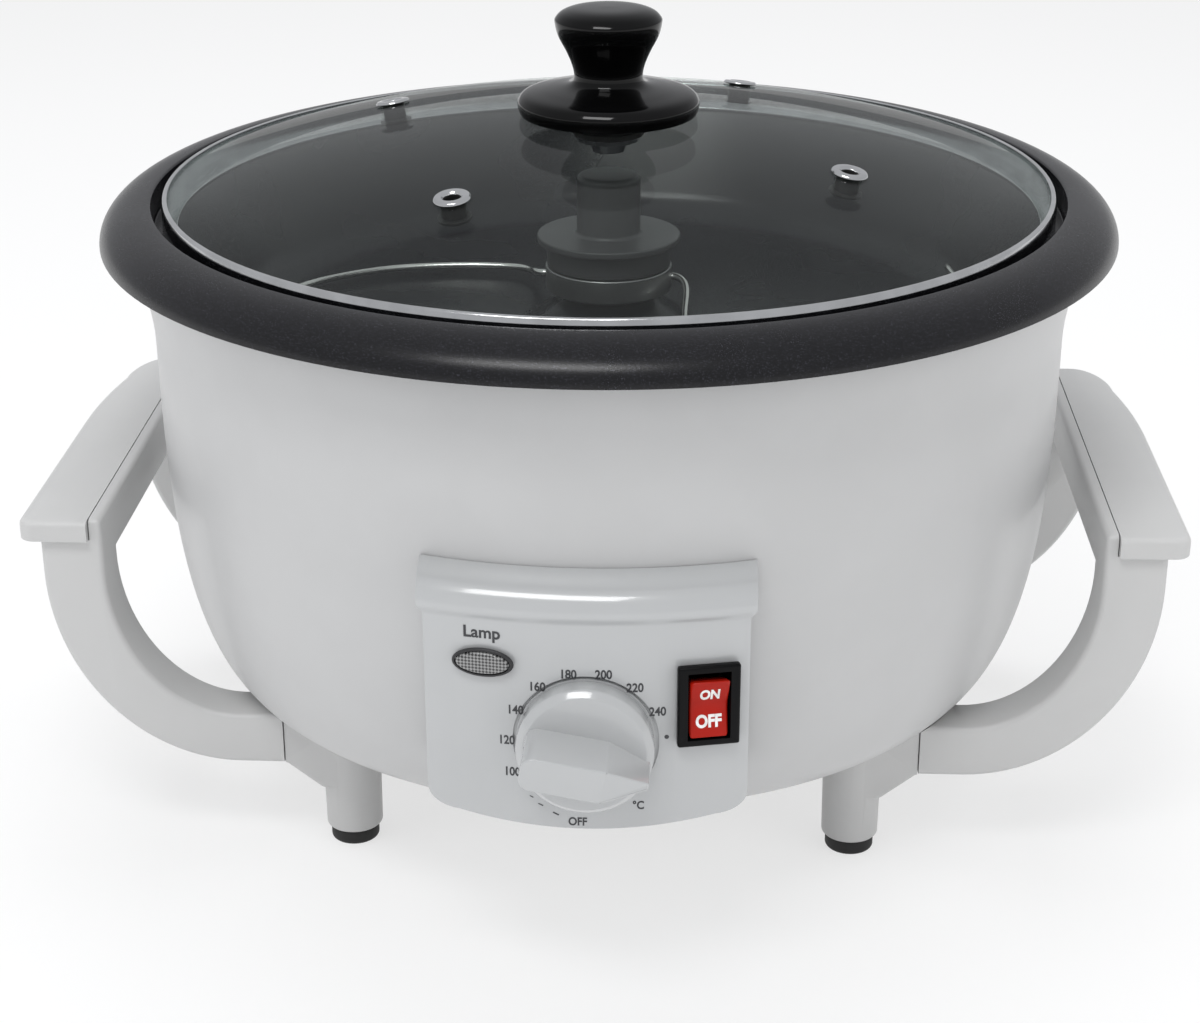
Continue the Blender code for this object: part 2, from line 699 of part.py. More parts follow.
def make_bowl_cutter(name):
    """A solid a little larger than the housing, which trims what is fitted against it."""
    grown = flare_curve(-GAP) + bowl_curve(-GAP)
    profile = [(0, grown[0][1]), *grown, (0, grown[-1][1])]
    return turned(name, profile, None, LARGE_STEPS, closed=False)


def make_pot():
    """The roasting pan: rolled flange, seat for the lid, shallow wall, floor and shaft tube."""
    knee_x = POT_KNEE_R - POT_FLOOR_R
    knee_z = POT_KNEE_Z - POT_FLOOR_Z
    roll = ellipse_arc((POT_LIP_R, POT_FLANGE_Z), (POT_ROLL_W, POT_ROLL_H), 90, 0, POT_ROLL_STEPS)
    profile = [
        *roll,
        (POT_WALL_TOP_R + POT_WALL, POT_FLANGE_Z),
        (POT_KNEE_R + POT_WALL, POT_KNEE_Z - POT_WALL / 2),
        (POT_FLOOR_R + POT_WALL / 2, POT_UNDER_Z),
        (POT_TUBE_R, POT_UNDER_Z),
        (POT_TUBE_R, POT_BOSS_Z),
        (POT_TUBE_BORE_R, POT_BOSS_Z),
        (POT_TUBE_BORE_R, POT_TUBE_TOP_Z),
        (POT_TUBE_R, POT_TUBE_TOP_Z),
        (POT_TUBE_R, POT_CONE_TOP_Z),
        (POT_CONE_R, POT_FLOOR_Z),
        (POT_FLOOR_R, POT_FLOOR_Z),
        (POT_FLOOR_R + knee_x * (1 - POT_KNEE_SHARE), POT_FLOOR_Z + knee_z * POT_KNEE_SHARE),
        (POT_KNEE_R, POT_KNEE_Z),
        (POT_WALL_TOP_R, POT_SEAT_Z),
        (POT_LIP_R, POT_SEAT_Z),
    ]
    turned("inner_pot", profile, "pan_black", LARGE_STEPS)


def make_shaft_bush():
    """The flanged bush in the pan's tube."""
    top = POT_TUBE_TOP_Z - BUSH_TOP_DROP
    flange_top = POT_BOSS_Z - GAP
    profile = [
        (BUSH_R, top),
        (BUSH_R, flange_top),
        (BUSH_FLANGE_R, flange_top),
        (BUSH_FLANGE_R, flange_top - BUSH_FLANGE_H),
        (BUSH_BORE_R, flange_top - BUSH_FLANGE_H),
        (BUSH_BORE_R, top),
    ]
    turned("shaft_bush", profile, "brass", SMALL_STEPS)


def make_housing():
    """The bowl-shaped housing with its openings for the controls, the cord and the base."""
    outer = flare_curve() + bowl_curve()
    inner = flare_curve(HOUSING_WALL) + bowl_curve(HOUSING_WALL)
    opening = [(HOUSING_OPENING_R, HOUSING_FLOOR_Z), (HOUSING_OPENING_R, HOUSING_INSIDE_Z)]
    housing = turned(
        "outer_housing", [*outer, *opening, *reversed(inner)], "shell_white", LARGE_STEPS
    )
    quarter = math.pi / 2
    stat_hole = rod(
        "thermostat_hole", THERMOSTAT_R + GAP * 3, THERMOSTAT_R + GAP * 3, THERMOSTAT_L,
        None, (0, -HOUSING_SIDE_R, DIAL_Z), (quarter, 0, 0),
    )
    boolean(housing, stat_hole)
    spot = on_panel(SWITCH_TURN, -SWITCH_BODY_DEEP / 2, SWITCH_Z)
    size = (SWITCH_BODY_W + GAP * 6, SWITCH_BODY_DEEP, SWITCH_BODY_H + GAP * 6)
    boolean(housing, box("switch_window", size, None, spot, (0, 0, SWITCH_TURN)))
    gland_hole = rod(
        "gland_hole", GLAND_NECK_R + GAP, GLAND_NECK_R + GAP, GLAND_IN + GLAND_OUT * 2,
        None, (0, bowl_radius(GLAND_Z), GLAND_Z), (quarter, 0, 0),
    )
    boolean(housing, gland_hole)
    for number in range(BASE_SCREW_COUNT):
        angle = quarter * number + quarter / 2
        hole = rod(
            f"housing_screw_hole_{number + 1}", BASE_SCREW_HOLE_R, BASE_SCREW_HOLE_R,
            BASE_SCREW_L, None, around(BASE_SCREW_RING_R, angle, HOUSING_FLOOR_Z),
        )
        boolean(housing, hole)


def make_base():
    """The base plate with its air slots, and the screws that hold it."""
    low = BASE_TOP_Z - BASE_THICK
    profile = [(BASE_R, BASE_TOP_Z), (BASE_R, low), (BASE_HOLE_R, low), (BASE_HOLE_R, BASE_TOP_Z)]
    plate = turned("base_plate", profile, "sheet_steel", LARGE_STEPS)
    for number in range(BASE_SLOT_COUNT):
        angle = math.tau * number / BASE_SLOT_COUNT
        size = (BASE_SLOT_L, BASE_SLOT_W, BASE_THICK * 3)
        place = around(BASE_SLOT_R, angle, low)
        boolean(plate, box(f"base_slot_{number + 1}", size, None, place, (0, 0, angle)))
    head_top = low - GAP
    screw_profile = [
        (0, head_top + BASE_SCREW_L),
        (BASE_SCREW_R, head_top + BASE_SCREW_L),
        (BASE_SCREW_R, head_top),
        (BASE_SCREW_HEAD_R, head_top),
        (BASE_SCREW_HEAD_R * 0.8, head_top - BASE_SCREW_HEAD_H),
        (0, head_top - BASE_SCREW_HEAD_H),
    ]
    for number in range(BASE_SCREW_COUNT):
        angle = math.pi / 2 * number + math.pi / 4
        place = around(BASE_SCREW_RING_R, angle)
        hole = rod(
            f"base_screw_hole_{number + 1}", BASE_SCREW_HOLE_R, BASE_SCREW_HOLE_R,
            BASE_SCREW_L, None, (place[0], place[1], low),
        )
        boolean(plate, hole)
        turned(
            f"base_screw_{number + 1}", screw_profile, "sheet_steel", SMALL_STEPS,
            closed=False, place=place,
        )


def make_lid():
    """The glass dome, its steel band and its vent eyelets."""
    depth = GLASS_THICK
    outer = [dome_point(GLASS_R * ring / GLASS_RINGS) for ring in range(1, GLASS_RINGS + 1)]
    inner = [(radius, height - depth) for radius, height in reversed(outer)]
    hub = dome_point(GLASS_HOLE_R)
    profile = [hub, *outer, *inner, (hub[0], hub[1] - depth)]
    glass = turned("lid_glass", profile, "lid_glass", LARGE_STEPS)
    lean = math.asin(VENT_RING_R / DOME_R)
    ring_r, ring_z = dome_point(VENT_RING_R)
    for number in range(VENT_COUNT):
        angle = VENT_TURN + math.tau * number / VENT_COUNT
        place = around(ring_r, angle, ring_z)
        turn = (0, lean, angle)
        hole = rod(
            f"vent_hole_{number + 1}", VENT_GLASS_HOLE_R, VENT_GLASS_HOLE_R, depth * 3,
            None, place, turn,
        )
        boolean(glass, hole)
        make_vent(f"lid_vent_{number + 1}", place, turn)
    make_band()


def dome_point(radius):
    """A (radius, height) point on the glass dome's outer face."""
    return radius, DOME_TOP_Z - DOME_R + math.sqrt(DOME_R**2 - radius**2)


def make_vent(name, place, turn):
    """A flanged eyelet through the glass, with the dome's face at its own zero height."""
    under = -GLASS_THICK - GAP
    profile = [
        (VENT_HOLE_R + VENT_FLANGE, GAP + VENT_FLANGE),
        (VENT_R - VENT_FLANGE / 2, GAP + VENT_FLANGE * 0.8),
        (VENT_R, GAP),
        (VENT_BARREL_R, GAP),
        (VENT_BARREL_R, under),
        (VENT_UNDER_R, under),
        (VENT_UNDER_R, under - VENT_FLANGE),
        (VENT_HOLE_R, under - VENT_FLANGE),
        (VENT_HOLE_R, GAP + VENT_FLANGE / 2),
    ]
    turned(name, profile, "bright_steel", VENT_STEPS, place=place, turn=turn)


def make_band():
    """The steel band that wraps the glass dome's edge."""
    lip_z = dome_point(BAND_LIP_R)[1] + GAP
    foot_r = BAND_R - BAND_FOOT_W
    inside_r = BAND_R - BAND_THICK
    lip_out_r = BAND_R - BAND_SHOULDER
    profile = [
        (BAND_LIP_R, lip_z + BAND_THICK),
        (lip_out_r, BAND_SHOULDER_Z + BAND_SHOULDER),
        (BAND_R, BAND_SHOULDER_Z),
        (BAND_R, BAND_BASE_Z),
        (foot_r, BAND_BASE_Z),
        (foot_r, BAND_BASE_Z + BAND_THICK),
        (inside_r, BAND_BASE_Z + BAND_THICK),
        (inside_r, BAND_SHOULDER_Z),
        (GLASS_R, dome_point(GLASS_R)[1] + GAP),
        (BAND_LIP_R, lip_z),
    ]
    turned("lid_rim_band", profile, "bright_steel", LARGE_STEPS)


def make_knob():
    """The lid knob and what holds it on the glass."""
    outline = [
        (KNOB_R * across, KNOB_BASE_Z + KNOB_H * up) for across, up in KNOB_OUTLINE_SHARES
    ]
    recess_z = KNOB_BASE_Z + KNOB_RECESS_H
    inside = [
        (KNOB_RECESS_R, KNOB_BASE_Z),
        (KNOB_RECESS_R, recess_z),
        (KNOB_BORE_R, recess_z),
        (KNOB_BORE_R, KNOB_BORE_TOP_Z),
        (0, KNOB_BORE_TOP_Z),
    ]
    turned("lid_knob", outline + inside, "knob_black", MEDIUM_STEPS, closed=False)
    tip = KNOB_BORE_TOP_Z - GAP * 2
    collar_ring("lid_knob_seal", SEAL_R, SEAL_TOP_Z, SEAL_H, "rubber_black")
    collar_ring("lid_knob_washer", WASHER_R, WASHER_TOP_Z, WASHER_H, "bright_steel")
    profile = [
        (0, tip),
        (SCREW_R, tip),
        (SCREW_R, SCREW_HEAD_Z),
        (SCREW_HEAD_R, SCREW_HEAD_Z),
        (SCREW_HEAD_R * 0.85, SCREW_LOW_Z),
        (0, SCREW_LOW_Z),
    ]
    turned("lid_knob_screw", profile, "bright_steel", SMALL_STEPS, closed=False)


def collar_ring(name, radius, top, height, finish):
    """A flat ring round the knob screw."""
    bore = SCREW_R + GAP
    low = top - height
    turned(name, [(radius, top), (radius, low), (bore, low), (bore, top)], finish, SMALL_STEPS)


def arm_knot(share, turn, rise):
    """A place on a stirrer arm, by its share of the way out, its turn and its height."""
    floor = (POT_FLOOR_R - COLLAR_R) * min(share, 1)
    knee = (POT_KNEE_R - POT_FLOOR_R) * max(share - 1, 0)
    height = POT_FLOOR_Z + POT_TUBE_H * rise
    return around(COLLAR_R + floor + knee, math.radians(turn), height)


def make_stirrer():
    """The hub with its post and disc, the collar below it, the two arms and the drive shaft."""
    bore = SHAFT_R + GAP
    disc_top = HUB_DISC_Z + HUB_DISC_H
    profile = [
        (0, HUB_TOP_Z),
        (HUB_POST_R - HUB_TOP_EDGE, HUB_TOP_Z),
        (HUB_POST_R, HUB_TOP_Z - HUB_TOP_EDGE),
        (HUB_POST_R, disc_top),
        (HUB_DISC_R, disc_top),
        (HUB_DISC_R, HUB_DISC_Z),
        (HUB_DRUM_R, HUB_DISC_Z),
        (HUB_DRUM_R, HUB_DRUM_Z),
        (HUB_CUP_R, HUB_DRUM_Z),
        (HUB_CUP_R, HUB_CUP_Z),
        (bore, HUB_CUP_Z),
        (bore, HUB_BORE_TOP_Z),
        (0, HUB_BORE_TOP_Z),
    ]
    turned("stirrer_hub", profile, "hub_grey", MEDIUM_STEPS, closed=False)
    top = HUB_DRUM_Z - GAP
    low = top - COLLAR_H
    ring = [(COLLAR_R, top), (COLLAR_R, low), (COLLAR_BORE_R, low), (COLLAR_BORE_R, top)]
    collar = turned("stirrer_collar", ring, "collar_steel", MEDIUM_STEPS)
    knots = [arm_knot(*knot) for knot in ARM_KNOTS]
    route = smooth_route(knots, ARM_SMOOTH_STEPS)
    start = Vector(knots[0])
    for number, name in enumerate(("stirrer_arm_right", "stirrer_arm_left")):
        half_turn = math.pi * number
        wire(name, route, ARM_WIRE_R, "bright_steel", turn=(0, 0, half_turn))
        spot = around(start.x + ARM_HOLE_DEEP / 2, half_turn + math.atan2(start.y, start.x))
        hole = rod(
            name + "_hole", ARM_HOLE_R, ARM_HOLE_R, ARM_HOLE_DEEP + ARM_HOLE_R, None,
            (spot[0], spot[1], start.z), (0, math.pi / 2, half_turn),
        )
        boolean(collar, hole)
    length = SHAFT_TOP_Z - SHAFT_BASE_Z
    rod(
        "drive_shaft", SHAFT_R, SHAFT_R, length, "sheet_steel",
        (0, 0, SHAFT_BASE_Z + length / 2),
    )


def handle_outline():
    """The side view of a handle's loop, from its lower end round to its top and back."""
    centre = (HANDLE_ARC_X, HANDLE_ARC_Z)
    outer_half = (HANDLE_OUTER_X - HANDLE_ARC_X, HANDLE_ARC_Z - HANDLE_OUTER_LOW_Z)
    inner_half = (HANDLE_INNER_X - HANDLE_ARC_X, HANDLE_ARC_Z - HANDLE_INNER_LOW_Z)
    return [
        (HANDLE_END_X + GAP / 2, HANDLE_OUTER_LOW_Z),
        *ellipse_arc(centre, outer_half, -90, 0, HANDLE_ARC_STEPS),
        (HANDLE_OUTER_X, HANDLE_TOP_Z),
        (HANDLE_STRIP_X, HANDLE_TOP_Z),
        (HANDLE_STRIP_X, HANDLE_STRIP_Z),
        (HANDLE_INNER_X, HANDLE_STRIP_Z),
        *ellipse_arc(centre, inner_half, 0, -90, HANDLE_ARC_STEPS),
        (HANDLE_END_X + GAP / 2, HANDLE_INNER_LOW_Z),
    ]


def cap_outline(side):
    """The handle cap's plan, for the right side or mirrored for the left."""
    back_x = CAP_OUTER_X - CAP_TAPER_X
    corner_y = CAP_BACK_Y - CAP_TAPER_Y
    taper = [
        (
            CAP_OUTER_X - CAP_TAPER_X * share**2,
            CAP_STRAIGHT_Y + (CAP_TAPER_Y - CAP_STRAIGHT_Y) * share,
        )
        for share in (0, 0.35, 0.7)
    ]
    front = ellipse_arc(
        (CAP_OUTER_X - CAP_FRONT_CORNER, CAP_FRONT_CORNER - CAP_FRONT_Y),
        (CAP_FRONT_CORNER, CAP_FRONT_CORNER), -90, 0, 4,
    )
    back = ellipse_arc(
        (back_x - CAP_BACK_CORNER_X, CAP_TAPER_Y), (CAP_BACK_CORNER_X, corner_y), 0, 90, 6
    )
    outline = [(CAP_INNER_X, -CAP_FRONT_Y), *front, *taper, *back, (CAP_INNER_X, CAP_BACK_Y)]
    if side > 0:
        return outline
    return [(-x, y) for x, y in reversed(outline)]


def make_handles(bowl_cutter):
    """The loop handles, each an extruded side view opened between its arms, and their caps."""
    for name, side in (("right", 1), ("left", -1)):
        turn = (math.pi / 2, 0, 0 if side > 0 else math.pi)
        handle = extruded(
            "handle_" + name, [handle_outline()], 2 * HANDLE_HALF_Y, "shell_white", turn=turn
        )
        size = (2 * HANDLE_ARC_X, 2 * HANDLE_ARM_Y, 2 * HANDLE_BEAM_Z)
        space = box(f"handle_space_{name}", size, None, (side * HANDLE_OUTER_X, 0, 0))
        boolean(handle, space)
        round_edges(handle, HANDLE_EDGE)
        boolean(handle, bowl_cutter)
        thick = CAP_TOP_Z - CAP_BASE_Z
        place = (0, 0, CAP_BASE_Z + thick / 2)
        cap = extruded("handle_cap_" + name, [cap_outline(side)], thick, "shell_white", place)
        round_edges(cap, CAP_EDGE)


def make_legs(bowl_cutter):
    """The tapered legs, each with the gusset that meets a handle's end, and their rubber feet."""
    low = FOOT_H + GAP
    length = HOUSING_FLOOR_Z - GAP - low
    reach = HANDLE_END_X - GAP / 2 - LEG_X
    gusset = [
        (0, GUSSET_INNER_Z),
        (GUSSET_KNEE_X, GUSSET_INNER_Z),
        (reach, GUSSET_OUTER_Z),
        (reach, GUSSET_TOP_Z),
        (0, GUSSET_TOP_Z),
    ]
    foot_profile = [
        (0, FOOT_H),
        (FOOT_R, FOOT_H),
        (FOOT_R, FOOT_EDGE),
        (FOOT_R - FOOT_EDGE, 0),
        (0, 0),
    ]
    corners = (("front_right", 1, -1), ("back_right", 1, 1), ("back_left", -1, 1),
               ("front_left", -1, -1))
    for name, side, back in corners:
        place = (side * LEG_X, back * LEG_Y, low + length / 2)
        leg = rod("leg_" + name, LEG_END_R, LEG_TOP_R, length, "shell_white", place)
        web = extruded(
            "leg_web_" + name, [gusset], GUSSET_THICK, None, (place[0], place[1], 0),
            (math.pi / 2, 0, 0 if side > 0 else math.pi),
        )
        boolean(leg, web, "UNION")
        boolean(leg, bowl_cutter)
        turned(
            "foot_" + name, foot_profile, "rubber_black", SMALL_STEPS, closed=False,
            place=(place[0], place[1], 0),
        )


def panel_outline():
    """The control box's front view, with its wider band on top and its rounded low corners."""
    low = []
    for step in range(-PANEL_SIDE_STEPS, PANEL_SIDE_STEPS + 1):
        share = step / PANEL_SIDE_STEPS
        rise = (PANEL_LOW_SIDE_Z - PANEL_LOW_Z) * share**2
        low.append((PANEL_CORNER_X * share, PANEL_LOW_Z + rise))
    corner_half = (PANEL_HALF_W - PANEL_CORNER_X, PANEL_CORNER_Z - PANEL_LOW_SIDE_Z)
    right = ellipse_arc((PANEL_CORNER_X, PANEL_CORNER_Z), corner_half, -90, 0, 4)[1:]
    right += [
        (PANEL_HALF_W, PANEL_BAND_Z),
        (PANEL_BAND_HALF_W, PANEL_BAND_Z + PANEL_BAND_LIP),
        (PANEL_BAND_HALF_W, PANEL_TOP_Z + PANEL_WALL),
    ]
    left = [(-x, z) for x, z in reversed(right)]
    return low + right + left


def panel_hole(loops, turn, height, name):
    """A tool that cuts a flat shape through the control box's front wall."""
    place = on_panel(turn, 0, height)
    return extruded(name, loops, PANEL_WALL * 4, None, place, (math.pi / 2, 0, turn))


def rectangle(width, height):
    """A centred rectangle's corners."""
    return [
        (-width / 2, -height / 2), (width / 2, -height / 2),
        (width / 2, height / 2), (-width / 2, height / 2),
    ]


def oval(width, height):
    """A centred ellipse's points."""
    return ellipse_arc((0, 0), (width / 2, height / 2), 0, 360, LAMP_STEPS)[:-1]


def make_control_box(bowl_cutter):
    """The hollow control box, open at its back against the bowl."""
    band_low = PANEL_BAND_Z + PANEL_BAND_LIP
    seat_r = bowl_radius(PANEL_TOP_Z)
    roll = ellipse_arc(
        (seat_r, band_low), (PANEL_BAND_R - seat_r, PANEL_TOP_Z - band_low), 90, 0,
        PANEL_BAND_STEPS,
    )
    profile = [
        (PANEL_BACK_R, PANEL_TOP_Z),
        *roll,
        (PANEL_R, PANEL_BAND_Z),
        (PANEL_R, PANEL_BACK_Z),
        (PANEL_BACK_R, PANEL_BACK_Z),
    ]
    panel = turned("control_box", profile, "panel_white", PANEL_STEPS)
    outline = extruded(
        "panel_outline", [panel_outline()], PANEL_R - PANEL_BACK_R, None,
        (0, -PANEL_R, 0), (math.pi / 2, 0, 0),
    )
    boolean(panel, outline, "INTERSECT")
    inner_r = PANEL_R - PANEL_WALL
    hollow = [
        (inner_r, PANEL_CAVITY_TOP_Z),
        (inner_r, PANEL_CAVITY_LOW_Z),
        (PANEL_BACK_R - PANEL_WALL, PANEL_CAVITY_LOW_Z),
        (PANEL_BACK_R - PANEL_WALL, PANEL_CAVITY_TOP_Z),
    ]
    cavity = turned("panel_cavity", hollow, None, PANEL_STEPS)
    size = (2 * (PANEL_HALF_W - PANEL_WALL), PANEL_R, PANEL_R)
    boolean(cavity, box("panel_cavity_width", size, None, (0, -PANEL_R, PANEL_R / 2)), "INTERSECT")
    boolean(panel, cavity)
    boolean(panel, bowl_cutter)
    bush = oval(2 * THERMOSTAT_BUSH_R + GAP * 3, 2 * THERMOSTAT_BUSH_R + GAP * 3)
    boolean(panel, panel_hole([bush], 0, DIAL_Z, "panel_dial_hole"))
    window = rectangle(SWITCH_BODY_W + GAP * 2, SWITCH_BODY_H + GAP * 2)
    boolean(panel, panel_hole([window], SWITCH_TURN, SWITCH_Z, "panel_switch_hole"))
    lens = oval(LAMP_LENS_W + GAP * 2, LAMP_LENS_H + GAP * 2)
    boolean(panel, panel_hole([lens], LAMP_TURN, LAMP_Z, "panel_lamp_hole"))


def dial_bar_outline():
    """The grip bar's plan: a rounded end, straight sides, and a taper to its tip."""
    half = DIAL_BAR_THICK / 2
    corner = (DIAL_BAR_CORNER, DIAL_BAR_CORNER)
    middle = (DIAL_BAR_CORNER - DIAL_BAR_END, half - DIAL_BAR_CORNER)
    upper = [
        (DIAL_BAR_TIP, DIAL_BAR_TIP_W / 2),
        (DIAL_BAR_KINK, half),
        *ellipse_arc(middle, corner, 90, 180, 3),
    ]
    return upper + [(x, -y) for x, y in reversed(upper)]


def make_dial():
    """The temperature dial with its grip bar, turned to its printed setting, and its shaft."""
    tilt = (math.pi / 2, DIAL_REST_TILT, 0)
    place = (0, DIAL_BACK_Y, DIAL_Z)
    profile = [
        (0, DIAL_H),
        (DIAL_R - DIAL_CHAMFER, DIAL_H),
        (DIAL_R, DIAL_H - DIAL_CHAMFER),
        (DIAL_R, 0),
        (DIAL_RECESS_R, 0),
        (DIAL_RECESS_R, DIAL_RECESS_H),
        (0, DIAL_RECESS_H),
    ]
    dial = turned(
        "thermostat_knob", profile, "panel_white", DIAL_STEPS, closed=False,
        place=place, turn=tilt,
    )
    height = DIAL_BAR_H + DIAL_BAR_ROOT
    middle = DIAL_H - DIAL_BAR_ROOT + height / 2
    bar_place = (0, DIAL_BACK_Y - middle, DIAL_Z)
    bar = extruded("dial_bar", [dial_bar_outline()], height, None, bar_place, tilt)
    for corner in bar.data.vertices:
        if corner.co.z > 0:
            corner.co.y *= DIAL_BAR_DRAFT_SHARE
    round_edges(bar, DIAL_BAR_EDGE)
    boolean(dial, bar, "UNION")
    socket_r = THERMOSTAT_SHAFT_R + GAP
    socket_place = (0, DIAL_BACK_Y - DIAL_SOCKET_H / 2, DIAL_Z)
    boolean(dial, rod("dial_socket", socket_r, socket_r, DIAL_SOCKET_H, None, socket_place, tilt))
    length = THERMOSTAT_SHAFT_DEEP + THERMOSTAT_SHAFT_OUT
    middle = PANEL_R + THERMOSTAT_SHAFT_OUT - length / 2
    rod(
        "thermostat_shaft", THERMOSTAT_SHAFT_R, THERMOSTAT_SHAFT_R, length, "sheet_steel",
        (0, -middle, DIAL_Z), tilt,
    )


def make_thermostat():
    """The thermostat's body and threaded bush behind the dial, and the nut that holds it."""
    bore = THERMOSTAT_SHAFT_R + GAP
    face = math.sqrt((PANEL_R - PANEL_WALL) ** 2 - THERMOSTAT_R**2) - PANEL_R - GAP
    top = face + THERMOSTAT_BUSH_L
    bore_end = -THERMOSTAT_SHAFT_DEEP - GAP
    profile = [
        (0, bore_end),
        (bore, bore_end),
        (bore, top),
        (THERMOSTAT_BUSH_R, top),
        (THERMOSTAT_BUSH_R, face),
        (THERMOSTAT_R, face),
        (THERMOSTAT_R, face - THERMOSTAT_L),
        (0, face - THERMOSTAT_L),
    ]
    place = (0, -PANEL_R, DIAL_Z)
    turn = (math.pi / 2, 0, 0)
    turned(
        "thermostat_body", profile, "sheet_steel", MEDIUM_STEPS, closed=False,
        place=place, turn=turn,
    )
    nut = [(NUT_R, GAP + NUT_H), (NUT_R, GAP), (NUT_BORE_R, GAP), (NUT_BORE_R, GAP + NUT_H)]
    turned("thermostat_nut", nut, "brass", NUT_SIDES, place=place, turn=turn)


def make_switch():
    """The switch's bezel, its body with a pocket, and the rocker with its lower half pressed."""
    turn = (0, 0, SWITCH_TURN)
    place = on_panel(SWITCH_TURN, GAP + BEZEL_THICK / 2, SWITCH_Z)
    bezel = box("rocker_bezel", (BEZEL_W, BEZEL_THICK, BEZEL_H), "switch_black", place, turn)
    round_edges(bezel, BEZEL_EDGE)
    size = (ROCKER_W + RUN_GAP * 2, SWITCH_POCKET_DEEP * 2, ROCKER_WINDOW_H)
    pocket = box(
        "rocker_pocket", size, None, on_panel(SWITCH_TURN, 0, SWITCH_Z), turn
    )
    boolean(bezel, pocket)
    place = on_panel(SWITCH_TURN, -SWITCH_BODY_DEEP / 2, SWITCH_Z)
    size = (SWITCH_BODY_W, SWITCH_BODY_DEEP, SWITCH_BODY_H)
    boolean(box("switch_body", size, "switch_black", place, turn), pocket)
    half = ROCKER_H / 2
    outline = [
        (ROCKER_OUT, half),
        (-ROCKER_BACK, half * ROCKER_BACK_SHARE),
        (-ROCKER_BACK, -half * ROCKER_BACK_SHARE),
        (ROCKER_OUT, -half),
        (ROCKER_DIP, 0),
    ]
    rocker = extruded(
        "switch_rocker", [outline], ROCKER_W, "rocker_red",
        on_panel(SWITCH_TURN, -ROCKER_PIVOT_DEEP, SWITCH_Z),
        (math.pi / 2, ROCKER_TILT, SWITCH_TURN - math.pi / 2),
    )
    round_edges(rocker, ROCKER_EDGE)


def make_lamp():
    """The pilot lamp: its oval rim, its lens through the panel, and the lamp behind it."""
    turn = (math.pi / 2, 0, LAMP_TURN)
    opening = oval(LAMP_LENS_W + GAP * 2, LAMP_LENS_H + GAP * 2)
    thick = LAMP_RIM_OUT - GAP
    extruded(
        "lamp_bezel", [oval(LAMP_RIM_W, LAMP_RIM_H), opening], thick, "lamp_rim_grey",
        on_panel(LAMP_TURN, GAP + thick / 2, LAMP_Z), turn,
    )
    thick = LAMP_LENS_OUT + LAMP_LENS_DEEP
    middle = LAMP_LENS_OUT - thick / 2
    lens = extruded(
        "lamp_lens", [oval(LAMP_LENS_W, LAMP_LENS_H)], thick, "lamp_clear",
        on_panel(LAMP_TURN, middle, LAMP_Z), turn,
    )
    round_edges(lens, LAMP_LENS_EDGE, 1)
    middle = -LAMP_LENS_DEEP - GAP - LAMP_BODY_L / 2
    rod(
        "lamp_body", LAMP_BODY_R, LAMP_BODY_R, LAMP_BODY_L, "lamp_clear",
        on_panel(LAMP_TURN, middle, LAMP_Z), turn,
    )


def make_heater():
    """The heating element's open ring on its posts, the shield below, the sensor and the fuse."""
    sweep = math.tau - HEATER_OPEN
    ring = [
        around(HEATER_RING_R, HEATER_OPEN / 2 + sweep * step / HEATER_STEPS, HEATER_Z)
        for step in range(HEATER_STEPS + 1)
    ]
    wire("heating_element", ring, HEATER_R, "heater_steel")
    low = SHIELD_Z + GAP
    length = HEATER_Z - HEATER_R - GAP - low
    for number in range(HEATER_POST_COUNT):
        angle = math.tau * (number + 1 / 2) / HEATER_POST_COUNT
        rod(
            f"heater_post_{number + 1}", HEATER_POST_R, HEATER_POST_R, length, "sheet_steel",
            around(HEATER_RING_R, angle, low + length / 2),
        )
    rim_r = bowl_radius(SHIELD_RIM_Z) - HOUSING_WALL - GAP * 2
    slope_r = rim_r - SHIELD_SLOPE_W
    under = SHIELD_Z - SHIELD_THICK
    profile = [
        (rim_r, SHIELD_RIM_Z),
        (slope_r, under),
        (SHIELD_BORE_R, under),
        (SHIELD_BORE_R, SHIELD_Z),
        (slope_r - SHIELD_THICK / 2, SHIELD_Z),
        (rim_r - SHIELD_THICK * 2, SHIELD_RIM_Z),
    ]
    turned("heat_shield", profile, "sheet_steel", LARGE_STEPS)
    across = (0, math.pi / 2, 0)
    sensor_z = POT_UNDER_Z - GAP - SENSOR_R
    rod("heat_sensor", SENSOR_R, SENSOR_R, SENSOR_L, "brass", (0, SENSOR_Y, sensor_z), across)
    height = sensor_z - SENSOR_R - GAP - low
    size = (SENSOR_CLIP, SENSOR_CLIP, height)
    box("sensor_clip", size, "sheet_steel", (0, SENSOR_Y, low + height / 2))
    rod("thermal_fuse", FUSE_R, FUSE_R, FUSE_L, "sheet_steel", (0, FUSE_Y, low + FUSE_R), across)


